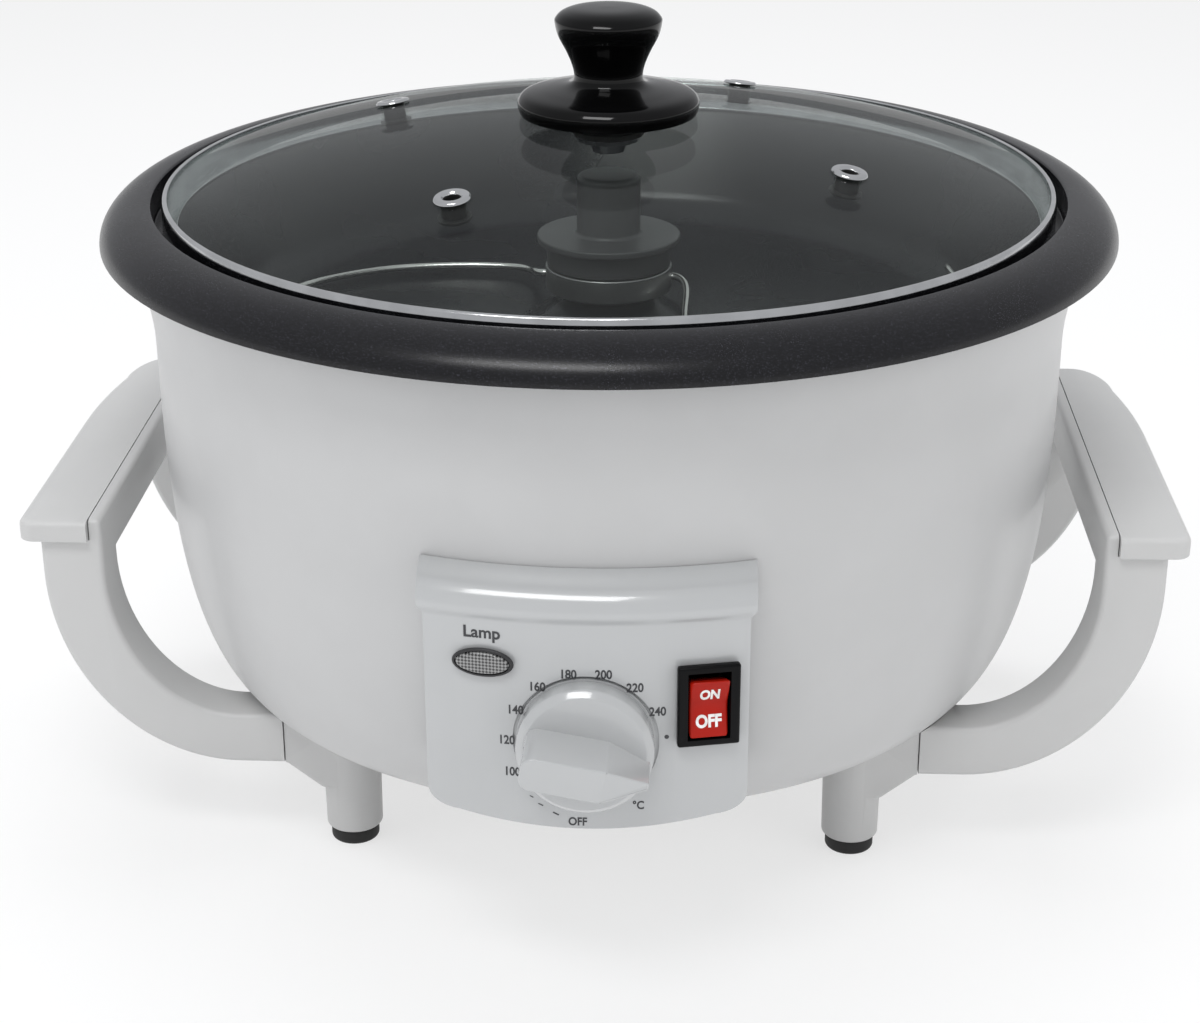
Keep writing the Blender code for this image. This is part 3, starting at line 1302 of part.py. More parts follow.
def make_motor():
    """The gear motor that hangs from its bracket on the housing's floor."""
    low = HOUSING_INSIDE_Z + GAP
    inner_x = BRACKET_HALF_X - BRACKET_THICK
    right = [
        (inner_x, BRACKET_TOP_Z - BRACKET_THICK),
        (inner_x, low),
        (BRACKET_FOOT_X, low),
        (BRACKET_FOOT_X, low + BRACKET_THICK),
        (BRACKET_HALF_X, low + BRACKET_THICK),
        (BRACKET_HALF_X, BRACKET_TOP_Z),
    ]
    outline = right + [(-x, z) for x, z in reversed(right)]
    bracket = extruded(
        "motor_bracket", [outline], BRACKET_W, "sheet_steel", turn=(math.pi / 2, 0, 0)
    )
    hole = rod(
        "bracket_hole", BRACKET_HOLE_R, BRACKET_HOLE_R, BRACKET_THICK * 4, None,
        (0, 0, BRACKET_TOP_Z),
    )
    boolean(bracket, hole)
    top = BRACKET_TOP_Z - BRACKET_THICK - GAP
    gearbox = box(
        "gearbox", (GEARBOX_W, GEARBOX_D, GEARBOX_H), "sheet_steel", (0, 0, top - GEARBOX_H / 2)
    )
    round_edges(gearbox, GEARBOX_EDGE)
    depth = top - SHAFT_BASE_Z + GAP
    bore = SHAFT_R + RUN_GAP
    boolean(gearbox, rod("gearbox_bore", bore, bore, depth * 2, None, (0, 0, top)))
    top -= GEARBOX_H + GAP
    low = top - MOTOR_H
    can = [
        (0, top),
        (MOTOR_R, top),
        (MOTOR_R, low + MOTOR_EDGE),
        (MOTOR_R - MOTOR_EDGE, low),
        (0, low),
    ]
    turned("motor_can", can, "heater_steel", MEDIUM_STEPS, closed=False)


def make_wiring():
    """The terminal block on the housing's floor and the cord gland in its back."""
    middle = HOUSING_INSIDE_Z + GAP + TERMINAL_H / 2
    size = (TERMINAL_W, TERMINAL_D, TERMINAL_H)
    block = box("terminal_block", size, "terminal_cream", (0, TERMINAL_Y, middle))
    round_edges(block, TERMINAL_EDGE, 1)
    place = (0, bowl_radius(GLAND_Z), GLAND_Z)
    turn = (-math.pi / 2, 0, 0)
    profile = [
        (GLAND_FLANGE_R - GLAND_EDGE, GLAND_OUT),
        (GLAND_FLANGE_R, GLAND_OUT - GLAND_EDGE),
        (GLAND_FLANGE_R, -GLAND_IN),
        (GLAND_BORE_R, -GLAND_IN),
        (GLAND_BORE_R, GLAND_OUT),
    ]
    gland = turned("cord_gland", profile, "rubber_black", SMALL_STEPS, place=place, turn=turn)
    trim = make_bowl_cutter("gland_trim")
    neck = rod("gland_neck", GLAND_NECK_R, GLAND_NECK_R, GLAND_IN * 4, None, place, turn)
    boolean(trim, neck)
    boolean(gland, trim)


def main():
    clear_scene()
    make_finishes()
    bowl_cutter = make_bowl_cutter("bowl_trim")
    make_pot()
    make_shaft_bush()
    make_housing()
    make_base()
    make_lid()
    make_knob()
    make_stirrer()
    make_handles(bowl_cutter)
    make_legs(bowl_cutter)
    make_control_box(bowl_cutter)
    make_dial()
    make_thermostat()
    make_switch()
    make_lamp()
    make_heater()
    make_motor()
    make_wiring()
    bpy.context.view_layer.update()


main()
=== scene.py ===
"""Finished look of a home coffee bean roaster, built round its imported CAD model.

Every sub-assembly is a class that holds its sizes, builds its meshes and dresses them. Metres,
+Z up, front towards -Y. The pan's axis stands at (0, AXIS_Y); the floor is at z = 0.
"""

import logging
import math
from dataclasses import dataclass, field
from enum import Enum
from typing import Any, Sequence

import bpy
from mathutils import Matrix, Vector


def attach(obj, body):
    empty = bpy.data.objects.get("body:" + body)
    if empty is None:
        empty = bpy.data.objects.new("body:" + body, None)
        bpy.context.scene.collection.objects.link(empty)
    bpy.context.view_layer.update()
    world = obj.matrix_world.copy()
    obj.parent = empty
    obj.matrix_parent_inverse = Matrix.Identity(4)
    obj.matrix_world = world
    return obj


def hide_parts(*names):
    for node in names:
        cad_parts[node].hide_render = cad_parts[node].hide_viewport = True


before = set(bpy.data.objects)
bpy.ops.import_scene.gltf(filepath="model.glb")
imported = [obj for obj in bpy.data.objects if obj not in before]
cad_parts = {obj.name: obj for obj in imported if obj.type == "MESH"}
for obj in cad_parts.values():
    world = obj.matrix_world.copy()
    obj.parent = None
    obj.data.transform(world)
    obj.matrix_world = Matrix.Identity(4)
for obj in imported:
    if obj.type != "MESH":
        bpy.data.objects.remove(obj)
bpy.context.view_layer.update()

logging.basicConfig(level=logging.INFO, format="%(levelname)s %(message)s")
LOG = logging.getLogger("roaster")

Point = tuple[float, float]
Place = tuple[float, float, float]
Colour = tuple[float, float, float]

AXIS_Y = 0.0094
PANEL_R = 0.134
GAP = 0.0003
QUARTER = math.pi / 2


class Body(Enum):
    """The rigid bodies that pieces ride on."""

    BASE = "base"
    LID = "lid"
    STIRRER = "stirrer"
    DIAL = "dial"
    ROCKER = "rocker"


class Side(Enum):
    """The object's right and left, by the sign of X."""

    RIGHT = 1
    LEFT = -1

    @property
    def word(self) -> str:
        """The side's name as the CAD nodes spell it."""
        return self.name.lower()


class End(Enum):
    """The object's front and back, by the sign of Y."""

    FRONT = -1
    BACK = 1

    @property
    def word(self) -> str:
        """The end's name as the CAD nodes spell it."""
        return self.name.lower()


# ---- profile geometry -------------------------------------------------------------------------


def arc(centre: Point, half: Point, start: float, end: float, steps: int) -> list[Point]:
    """Points along an ellipse.

    Args:
        centre: The ellipse's middle.
        half: Its half width and half height.
        start: First angle in degrees, anticlockwise from the first axis.
        end: Last angle in degrees.
        steps: Number of chords.

    Returns:
        steps + 1 points, both ends kept.
    """
    turns = [math.radians(start + (end - start) * step / steps) for step in range(steps + 1)]
    return [
        (centre[0] + half[0] * math.cos(turn), centre[1] + half[1] * math.sin(turn))
        for turn in turns
    ]


def filleted(corners: Sequence[Place], closed: bool, steps: int = 5) -> list[Point]:
    """Rounds the corners of a chain.

    Args:
        corners: (x, y, radius) of each corner; a radius of zero keeps it sharp.
        closed: Whether the chain returns to its first corner.
        steps: Chords in each rounded corner.

    Returns:
        The chain's points with an arc in place of each rounded corner.
    """
    points: list[Point] = []
    count = len(corners)
    for index, (x, y, radius) in enumerate(corners):
        here = Vector((x, y))
        inside = closed or 0 < index < count - 1
        if radius <= 0 or not inside:
            points.append((x, y))
            continue
        before = Vector(corners[index - 1][:2]) - here
        after = Vector(corners[(index + 1) % count][:2]) - here
        half_angle = before.angle(after) / 2
        reach = min(radius / math.tan(half_angle), before.length * 0.49, after.length * 0.49)
        true_radius = reach * math.tan(half_angle)
        bisector = (before.normalized() + after.normalized()).normalized()
        middle = here + bisector * (true_radius / math.sin(half_angle))
        first = here + before.normalized() * reach - middle
        last = here + after.normalized() * reach - middle
        sweep = first.angle_signed(last)
        for step in range(steps + 1):
            share = sweep * step / steps
            turned = Vector((
                first.x * math.cos(share) + first.y * math.sin(share),
                first.y * math.cos(share) - first.x * math.sin(share),
            ))
            points.append((middle.x + turned.x, middle.y + turned.y))
    return points


def flowing(knots: Sequence[Place], steps: int) -> list[Vector]:
    """A smooth curve through knots.

    Args:
        knots: Points that the curve passes through.
        steps: Points made for each stretch between two knots.

    Returns:
        The curve's points.
    """
    line = [Vector(knot) for knot in knots]
    line = [2 * line[0] - line[1], *line, 2 * line[-1] - line[-2]]
    route: list[Vector] = []
    for before, first, second, after in zip(line, line[1:], line[2:], line[3:]):
        for step in range(steps):
            share = step / steps
            bend = 2 * before - 5 * first + 4 * second - after
            twist = 3 * first - before - 3 * second + after
            route.append(
                first + (second - before) * share / 2 + bend * share**2 / 2 + twist * share**3 / 2
            )
    return [*route, line[-2]]


def on_panel(turn: float, outward: float, height: float) -> Vector:
    """A point that far out of the control box's face.

    Args:
        turn: Angle of the face's normal from -Y, about Z.
        outward: Distance outwards from the face.
        height: Height above the floor.

    Returns:
        The point in the object's frame.
    """
    radius = PANEL_R + outward
    return Vector((radius * math.sin(turn), AXIS_Y - radius * math.cos(turn), height))


# ---- modelling by operators -------------------------------------------------------------------


class Bench:
    """The workbench: short operator routines that every sub-assembly models with."""

    MERGE = 1e-6

    @staticmethod
    def clear() -> None:
        """Leaves edit mode and deselects everything."""
        if bpy.context.object is not None and bpy.context.object.mode != "OBJECT":
            bpy.ops.object.mode_set(mode="OBJECT")
        bpy.ops.object.select_all(action="DESELECT")

    @staticmethod
    def pick(piece: bpy.types.Object) -> bpy.types.Object:
        """Makes one piece the only selected and active one."""
        Bench.clear()
        piece.select_set(True)
        bpy.context.view_layer.objects.active = piece
        return piece

    @staticmethod
    def settle(piece: bpy.types.Object) -> bpy.types.Object:
        """Applies a piece's place, turn and scale to its mesh."""
        Bench.pick(piece)
        bpy.ops.object.transform_apply(location=True, rotation=True, scale=True)
        return piece

    @staticmethod
    def chain(name: str, points: Sequence[Place], closed: bool = False) -> bpy.types.Object:
        """Draws a chain of edges by extruding one vertex from point to point.

        Args:
            name: Name of the new object.
            points: The chain's points.
            closed: Whether its last point joins its first.

        Returns:
            The new object, left in edit mode with all selected.
        """
        Bench.clear()
        bpy.ops.mesh.primitive_plane_add(size=0.01, location=points[0])
        piece = bpy.context.object
        piece.name = name
        bpy.ops.object.mode_set(mode="EDIT")
        bpy.ops.mesh.select_all(action="SELECT")
        bpy.ops.mesh.merge(type="CENTER")
        spots = [Vector(point) for point in points]
        if closed:
            spots.append(spots[0])
        for before, after in zip(spots, spots[1:]):
            bpy.ops.mesh.extrude_region_move(TRANSFORM_OT_translate={"value": after - before})
        bpy.ops.mesh.select_all(action="SELECT")
        bpy.ops.mesh.remove_doubles(threshold=Bench.MERGE)
        return piece

    @staticmethod
    def turned(
        name: str,
        profile: Sequence[Point],
        steps: int,
        closed: bool = True,
        sharp: float = 40,
        place: Place = (0, AXIS_Y, 0),
        turn: Place = (0, 0, 0),
    ) -> bpy.types.Object:
        """Spins a (radius, height) profile about an upright axis and puts the result in place.

        Args:
            name: Name of the new object.
            profile: Points of the profile.
            steps: Number of steps round the axis.
            closed: Whether the profile is a loop; an open one starts and ends on the axis.
            sharp: Edges that turn by more than this angle, in degrees, stay sharp.
            place: Where the foot of the axis goes.
            turn: Euler turn of the axis.

        Returns:
            The finished solid.
        """
        piece = Bench.chain(name, [(radius, 0, height) for radius, height in profile], closed)
        bpy.ops.mesh.spin(
            steps=steps, angle=math.tau, center=(0, 0, 0), axis=(0, 0, 1), use_auto_merge=True
        )
        bpy.ops.mesh.select_all(action="SELECT")
        bpy.ops.mesh.remove_doubles(threshold=Bench.MERGE)
        bpy.ops.mesh.normals_make_consistent(inside=False)
        bpy.ops.object.mode_set(mode="OBJECT")
        Bench.settle(piece)
        piece.rotation_euler = turn
        piece.location = place
        return Bench.smooth(Bench.settle(piece), sharp)

    @staticmethod
    def slab(
        name: str, outline: Sequence[Point], thick: float, place: Place, turn: Place
    ) -> bpy.types.Object:
        """Fills a flat outline and extrudes it, half to each side of its plane.

        Args:
            name: Name of the new object.
            outline: (x, y) points of the outline.
            thick: Thickness along the outline's normal.
            place: Where the outline's origin goes.
            turn: Euler turn of the outline's plane.

        Returns:
            The solid, with its place in its mesh.
        """
        piece = Bench.chain(name, [(x, y, -thick / 2) for x, y in outline], closed=True)
        bpy.ops.mesh.edge_face_add()
        bpy.ops.mesh.extrude_region_move(TRANSFORM_OT_translate={"value": (0, 0, thick)})
        bpy.ops.mesh.select_all(action="SELECT")
        bpy.ops.mesh.normals_make_consistent(inside=False)
        bpy.ops.object.mode_set(mode="OBJECT")
        Bench.settle(piece)
        piece.rotation_euler = turn
        piece.location = place
        return Bench.settle(piece)

    @staticmethod
    def block(name: str, size: Place, place: Place, turn: Place = (0, 0, 0)) -> bpy.types.Object:
        """Adds a cube at its size and place, to be shaped further."""
        Bench.clear()
        bpy.ops.mesh.primitive_cube_add(size=1, location=place, rotation=turn)
        piece = bpy.context.object
        piece.name = name
        piece.scale = size
        return Bench.settle(piece)

    @staticmethod
    def drum(
        name: str, radius: float, length: float, place: Place, turn: Place = (0, 0, 0),
        steps: int = 48,
    ) -> bpy.types.Object:
        """Adds a cylinder at its size and place, mostly as a cutter."""
        Bench.clear()
        bpy.ops.mesh.primitive_cylinder_add(
            vertices=steps, radius=radius, depth=length, location=place, rotation=turn
        )
        piece = bpy.context.object
        piece.name = name
        return Bench.settle(piece)

    @staticmethod
    def wire(
        name: str, route: Sequence[Vector], radius: float, sides: int = 16
    ) -> bpy.types.Object:
        """Extrudes a circle along a route and rounds both of its ends.

        Args:
            name: Name of the new object.
            route: Points of the wire's middle line.
            radius: The wire's radius.
            sides: Sides of its round section.

        Returns:
            The wire's solid.
        """
        Bench.clear()
        bpy.ops.curve.primitive_bezier_curve_add()
        line = bpy.context.object
        line.name = name
        line.data.splines.clear()
        spline = line.data.splines.new("POLY")
        spline.points.add(len(route) - 1)
        for knot, spot in zip(spline.points, route):
            knot.co = (*spot, 1)
        line.data.bevel_depth = radius
        line.data.bevel_resolution = sides // 4 - 1
        line.data.use_fill_caps = True
        line.location = (0, 0, 0)
        bpy.ops.object.convert(target="MESH")
        piece = bpy.context.object
        bpy.ops.object.mode_set(mode="EDIT")
        bpy.ops.mesh.select_all(action="SELECT")
        bpy.ops.mesh.remove_doubles(threshold=Bench.MERGE)
        bpy.ops.mesh.normals_make_consistent(inside=False)
        bpy.ops.object.mode_set(mode="OBJECT")
        Bench.rounded(piece, radius * 0.45, 3, 60)
        return Bench.smooth(Bench.settle(piece), 50)

    @staticmethod
    def smooth(piece: bpy.types.Object, angle: float = 40) -> bpy.types.Object:
        """Shades a piece smooth, apart from edges past an angle in degrees."""
        Bench.pick(piece)
        bpy.ops.object.shade_smooth_by_angle(angle=math.radians(angle))
        return piece

    @staticmethod
    def rounded(
        piece: bpy.types.Object, width: float, segments: int = 4, angle: float = 35
    ) -> bpy.types.Object:
        """Rounds a piece's edges with an applied Bevel.

        Args:
            piece: The piece.
            width: Width of the rounding.
            segments: Faces across each rounded edge.
            angle: Edges that turn by less than this angle, in degrees, are left alone.

        Returns:
            The same piece.
        """
        Bench.pick(piece)
        bevel = piece.modifiers.new("Edges", "BEVEL")
        bevel.width = width
        bevel.segments = segments
        bevel.limit_method = "ANGLE"
        bevel.angle_limit = math.radians(angle)
        bevel.use_clamp_overlap = True
        bpy.ops.object.modifier_apply(modifier=bevel.name)
        return piece

    @staticmethod
    def carve(
        piece: bpy.types.Object, tool: bpy.types.Object, mode: str = "DIFFERENCE",
        keep: bool = False,
    ) -> bpy.types.Object:
        """Applies a Boolean with a tool, which is then removed.

        Args:
            piece: The piece that is changed.
            tool: The cutter, or what is joined on.
            mode: DIFFERENCE, UNION or INTERSECT.
            keep: Whether the tool stays for another cut.

        Returns:
            The same piece.
        """
        Bench.pick(piece)
        change = piece.modifiers.new("Carve", "BOOLEAN")
        change.operation = mode
        change.solver = "EXACT"
        change.object = tool
        bpy.ops.object.modifier_apply(modifier=change.name)
        if not keep:
            bpy.data.objects.remove(tool, do_unlink=True)
        return piece

    @staticmethod
    def lettering(
        name: str, words: str, height: float, place: Vector, turn: Place, weight: float = 0.0,
        narrow: float = 1.0,
    ) -> bpy.types.Object:
        """Writes words as a thin flat solid, centred on a place.

        Args:
            name: Name of the new object.
            words: What it says.
            height: Height of a capital.
            place: Its middle.
            turn: Euler turn, with the words upright and facing +Z at no turn.
            weight: Share of the height by which the strokes are thickened.
            narrow: Share of its own width to which each word is drawn in.

        Returns:
            The words' mesh.
        """
        Bench.clear()
        bpy.ops.object.text_add(location=(0, 0, 0))
        text = bpy.context.object
        text.name = name
        text.data.body = words
        text.data.size = height / 0.72
        text.data.offset = height * weight
        text.data.extrude = 0.00002
        text.data.resolution_u = 6
        text.data.align_x = "CENTER"
        text.data.align_y = "CENTER"
        bpy.ops.object.convert(target="MESH")
        piece = bpy.context.object
        piece.name = name
        xs = [corner.co.x for corner in piece.data.vertices]
        ys = [corner.co.y for corner in piece.data.vertices]
        middle = Vector(((min(xs) + max(xs)) / 2, (min(ys) + max(ys)) / 2, 0))
        for corner in piece.data.vertices:
            corner.co -= middle
            corner.co.x *= narrow
        piece.rotation_euler = turn
        piece.location = place
        return Bench.settle(piece)

    @staticmethod
    def finish(
        piece: bpy.types.Object,
        body: Body,
        finish: "Finish",
        replaces: Sequence[str] = (),
    ) -> bpy.types.Object:
        """Dresses a piece and puts it on its body.

        Args:
            piece: The piece.
            body: The body it rides on.
            finish: Its finish.
            replaces: CAD nodes that it stands for.

        Returns:
            The same piece.
        """
        piece.data.materials.clear()
        piece.data.materials.append(finish.material())
        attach(piece, body.value)
        if replaces:
            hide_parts(*replaces)
        LOG.info("%s: %d faces, %s", piece.name, len(piece.data.polygons), finish.slot)
        return piece


# ---- finishes ---------------------------------------------------------------------------------


class Expr:
    """A node socket that can be added to, multiplied and so on, each step a Math node."""

    def __init__(self, nodes: "Nodes", socket: Any) -> None:
        """Wraps a socket of a node tree.

        Args:
            nodes: The tree's builder.
            socket: The output socket.
        """
        self.nodes = nodes
        self.socket = socket

    def _math(self, kind: str, first: Any, second: Any) -> "Expr":
        """Makes one Math node from two values, either of them a number or an Expr."""
        return self.nodes.make("ShaderNodeMath", {"operation": kind}, {0: first, 1: second})

    def __add__(self, other: Any) -> "Expr":
        """This plus another."""
        return self._math("ADD", self, other)

    def __radd__(self, other: Any) -> "Expr":
        """Another plus this."""
        return self._math("ADD", other, self)

    def __sub__(self, other: Any) -> "Expr":
        """This less another."""
        return self._math("SUBTRACT", self, other)

    def __rsub__(self, other: Any) -> "Expr":
        """Another less this."""
        return self._math("SUBTRACT", other, self)

    def __mul__(self, other: Any) -> "Expr":
        """This times another."""
        return self._math("MULTIPLY", self, other)

    def __rmul__(self, other: Any) -> "Expr":
        """Another times this."""
        return self._math("MULTIPLY", other, self)

    def __truediv__(self, other: Any) -> "Expr":
        """This over another."""
        return self._math("DIVIDE", self, other)

    def __rtruediv__(self, other: Any) -> "Expr":
        """Another over this."""
        return self._math("DIVIDE", other, self)

    def power(self, exponent: float) -> "Expr":
        """This to a power."""
        return self._math("POWER", self, exponent)

    def sine(self) -> "Expr":
        """The sine of this."""
        return self._math("SINE", self, 0.0)


class Nodes:
    """Builds one material's node tree, each node through one method."""

    def __init__(self, name: str) -> None:
        """Starts an empty material.

        Args:
            name: The material's name.
        """
        self.material = bpy.data.materials.new(name)
        self.material.use_nodes = True
        self.tree = self.material.node_tree
        self.tree.nodes.clear()

    def make(
        self, kind: str, settings: dict[str, Any] | None = None,
        sockets: dict[Any, Any] | None = None, output: Any = 0,
        stops: Sequence[tuple[float, Colour]] = (),
    ) -> Expr:
        """Makes one node.

        Args:
            kind: The node's type.
            settings: Its properties.
            sockets: Its inputs by name or number; numbers, colours or Exprs.
            output: The output to hand back.
            stops: Colour stops of a ramp.

        Returns:
            The chosen output.
        """
        node = self.tree.nodes.new(kind)
        for key, value in (settings or {}).items():
            setattr(node, key, value)
        if stops:
            ramp = node.color_ramp.elements
            while len(ramp) < len(stops):
                ramp.new(0.5)
            for stop, (place, colour) in zip(ramp, stops):
                stop.position = place
                stop.color = (*colour, 1)
        for key, value in (sockets or {}).items():
            if isinstance(value, Expr):
                self.tree.links.new(value.socket, node.inputs[key])
            elif value is not None:
                node.inputs[key].default_value = value
        return Expr(self, node.outputs[output])

    def place(self) -> Expr:
        """The piece's own coordinates, in metres."""
        return self.make("ShaderNodeTexCoord", output="Object")

    def axis(self, vector: Expr, name: str) -> Expr:
        """One component of a vector."""
        return self.make("ShaderNodeSeparateXYZ", sockets={0: vector}, output=name)

    def noise(self, scale: float, detail: float = 2.0, stretch: Place = (1, 1, 1)) -> Expr:
        """A noise value over the piece.

        Args:
            scale: Features per metre.
            detail: Octaves of finer noise.
            stretch: Scale along each axis.

        Returns:
            Values of 0 to 1, mostly near 0.5.
        """
        spot = self.place()
        if stretch != (1, 1, 1):
            spot = self.make("ShaderNodeMapping", sockets={"Vector": spot, "Scale": stretch})
        return self.make(
            "ShaderNodeTexNoise", {"noise_dimensions": "3D"},
            {"Vector": spot, "Scale": scale, "Detail": detail, "Roughness": 0.55}, "Fac",
        )

    def ramp(
        self, value: Expr, stops: Sequence[tuple[float, Colour]], output: str = "Color"
    ) -> Expr:
        """Colours a value by its place between stops."""
        return self.make("ShaderNodeValToRGB", sockets={"Fac": value}, output=output, stops=stops)

    def blend(self, share: Expr, low: Any, high: Any) -> Expr:
        """Mixes two colours by a share.

        Args:
            share: 0 for the first colour, 1 for the second.
            low: The first colour.
            high: The second.

        Returns:
            The mixed colour.
        """
        ends = [value if isinstance(value, Expr) else (*value, 1) for value in (low, high)]
        return self.make(
            "ShaderNodeMix", {"data_type": "RGBA", "clamp_factor": True},
            {0: share, 6: ends[0], 7: ends[1]}, 2,
        )

    def between(self, value: Expr, low: float, high: float) -> Expr:
        """A smooth step of 0 to 1 as a value goes from low to high."""
        return self.make(
            "ShaderNodeMapRange", {"interpolation_type": "SMOOTHSTEP"},
            {"Value": value, "From Min": low, "From Max": high},
        )

    def bump(
        self, height: Expr, depth: float, strength: float = 1.0, under: Expr | None = None
    ) -> Expr:
        """Turns a height into a normal.

        Args:
            height: Height of 0 to 1.
            depth: What a height of 1 is in metres.
            strength: How far the normal follows it.
            under: A normal that this goes over.

        Returns:
            The normal.
        """
        return self.make(
            "ShaderNodeBump", {},
            {"Strength": strength, "Distance": depth, "Height": height, "Normal": under},
        )

    def surface(self, **sockets: Any) -> Expr:
        """A Principled shader with the sockets given by name, spaces as underscores."""
        named = {}
        for key, value in sockets.items():
            name = key.replace("_", " ")
            if isinstance(value, tuple) and len(value) == 3:
                value = (*value, 1)
            named[name] = value
        return self.make("ShaderNodeBsdfPrincipled", {}, named)

    def done(self, shader: Expr) -> bpy.types.Material:
        """Joins the shader to the output and hands back the material."""
        self.make_output(shader)
        return self.material

    def make_output(self, shader: Expr) -> None:
        """Adds the Material Output node."""
        output = self.tree.nodes.new("ShaderNodeOutputMaterial")
        self.tree.links.new(shader.socket, output.inputs["Surface"])


@dataclass(frozen=True)
class Finish:
    """One finish; each kind builds its own node tree once and shares it.

    Attributes:
        name: The material's name.
        slot: The row slot that it dresses.
    """

    name: str
    slot: str

    def material(self) -> bpy.types.Material:
        """The finish's material, built the first time that it is asked for."""
        known = bpy.data.materials.get(self.name)
        return known if known is not None else self.build(Nodes(self.name))

    def build(self, nodes: Nodes) -> bpy.types.Material:
        """Builds the node tree; each kind of finish has its own."""
        raise NotImplementedError


@dataclass(frozen=True)
class Moulding(Finish):
    """Painted or moulded plastic with faint mottling and a soft texture.

    Attributes:
        colour: Its linear base colour.
        gloss: Roughness of its surface.
        coat: Weight of a clear gloss over it.
        grain: Depth of its fine texture in metres.
        shade: How much darker its darkest mottles are.
        shine: How strongly the bare surface mirrors.
    """

    colour: Colour = (0.6, 0.6, 0.6)
    gloss: float = 0.4
    coat: float = 0.0
    grain: float = 0.00002
    shade: float = 0.03
    shine: float = 0.5

    def build(self, nodes: Nodes) -> bpy.types.Material:
        """Builds mottled colour, uneven gloss and a fine bump."""
        darker = tuple(part * (1 - self.shade) for part in self.colour)
        mottle = nodes.noise(35, 3)
        base = nodes.blend(nodes.between(mottle, 0.35, 0.65), darker, self.colour)
        rough = nodes.noise(60, 2) * 0.06 + (self.gloss - 0.03)
        normal = nodes.bump(nodes.noise(2600, 1), self.grain, 0.35)
        return nodes.done(nodes.surface(
            Base_Color=base, Roughness=rough, Coat_Weight=self.coat, Coat_Roughness=0.06,
            Normal=normal, Specular_IOR_Level=self.shine,
        ))


@dataclass(frozen=True)
class NonStick(Finish):
    """Dark pan coating with fine bright flecks.

    Attributes:
        colour: Its linear base colour.
        fleck: Colour of the flecks.
        gloss: Roughness between the flecks.
    """

    colour: Colour = (0.0065, 0.0065, 0.0078)
    fleck: Colour = (0.10, 0.10, 0.12)
    gloss: float = 0.28

    def build(self, nodes: Nodes) -> bpy.types.Material:
        """Builds the dark base with flecks and an orange-peel bump."""
        specks = nodes.between(nodes.noise(3300, 1), 0.60, 0.70)
        cloud = nodes.noise(28, 2)
        base = nodes.blend(specks * 0.5, self.colour, self.fleck)
        rough = cloud * 0.08 + (self.gloss - 0.04) - specks * 0.08
        normal = nodes.bump(nodes.noise(1500, 2), 0.00003, 0.5)
        return nodes.done(nodes.surface(
            Base_Color=base, Roughness=rough, Metallic=specks * 0.35, Normal=normal,
            Specular_IOR_Level=0.35,
        ))


@dataclass(frozen=True)
class Metal(Finish):
    """Bare or plated metal with fine uneven gloss.

    Attributes:
        colour: Its linear base colour.
        gloss: Mean roughness.
        spread: How far the roughness varies.
        stretch: Scale of its grain along each axis.
    """

    colour: Colour = (0.72, 0.72, 0.72)
    gloss: float = 0.18
    spread: float = 0.1
    stretch: Place = (1, 1, 1)

    def build(self, nodes: Nodes) -> bpy.types.Material:
        """Builds metal with slight tone and gloss changes and a hairline bump."""
        tone = nodes.noise(90, 3, self.stretch)
        darker = tuple(part * 0.86 for part in self.colour)
        base = nodes.blend(nodes.between(tone, 0.3, 0.7), darker, self.colour)
        rough = nodes.noise(240, 2, self.stretch) * self.spread + (self.gloss - self.spread / 2)
        normal = nodes.bump(nodes.noise(1900, 1, self.stretch), 0.000012, 0.3)
        return nodes.done(nodes.surface(
            Base_Color=base, Roughness=rough, Metallic=1.0, Normal=normal,
        ))


@dataclass(frozen=True)
class Rubber(Finish):
    """Dull black rubber.

    Attributes:
        colour: Its linear base colour.
        gloss: Its roughness.
    """

    colour: Colour = (0.011, 0.011, 0.011)
    gloss: float = 0.66

    def build(self, nodes: Nodes) -> bpy.types.Material:
        """Builds dull rubber with dusty patches."""
        dust = nodes.between(nodes.noise(70, 3), 0.45, 0.8)
        lighter = tuple(part + 0.012 for part in self.colour)
        base = nodes.blend(dust, self.colour, lighter)
        rough = nodes.noise(150, 2) * 0.12 + (self.gloss - 0.06)
        normal = nodes.bump(nodes.noise(900, 2), 0.00004, 0.5)
        return nodes.done(nodes.surface(Base_Color=base, Roughness=rough, Normal=normal))


@dataclass(frozen=True)
class Glass(Finish):
    """Clear glass that lets straight light through, so that what is under it stays plain.

    Attributes:
        tint: Colour of the light that passes.
        haze: Share of a faint grey veil.
    """

    tint: Colour = (0.93, 0.95, 0.94)
    haze: float = 0.004

    def build(self, nodes: Nodes) -> bpy.types.Material:
        """Mixes see-through tint, a faint veil and a mirror by the angle of view."""
        clear = nodes.make("ShaderNodeBsdfTransparent", {}, {"Color": (*self.tint, 1)})
        veil = nodes.make("ShaderNodeBsdfDiffuse", {}, {"Color": (0.75, 0.77, 0.77, 1)})
        smear = nodes.noise(24, 3)
        hazy = nodes.make(
            "ShaderNodeMixShader", {},
            {0: nodes.between(smear, 0.3, 0.8) * self.haze + self.haze * 0.5, 1: clear, 2: veil},
        )
        normal = nodes.bump(nodes.noise(14, 1), 0.0003, 0.05)
        mirror = nodes.make(
            "ShaderNodeBsdfGlossy", {},
            {"Color": (1, 1, 1, 1), "Roughness": 0.03, "Normal": normal},
        )
        edge = nodes.make("ShaderNodeLayerWeight", {}, {"Blend": 0.5}, "Facing")
        share = edge.power(5) * 0.35 + 0.01
        return nodes.done(nodes.make("ShaderNodeMixShader", {}, {0: share, 1: hazy, 2: mirror}))


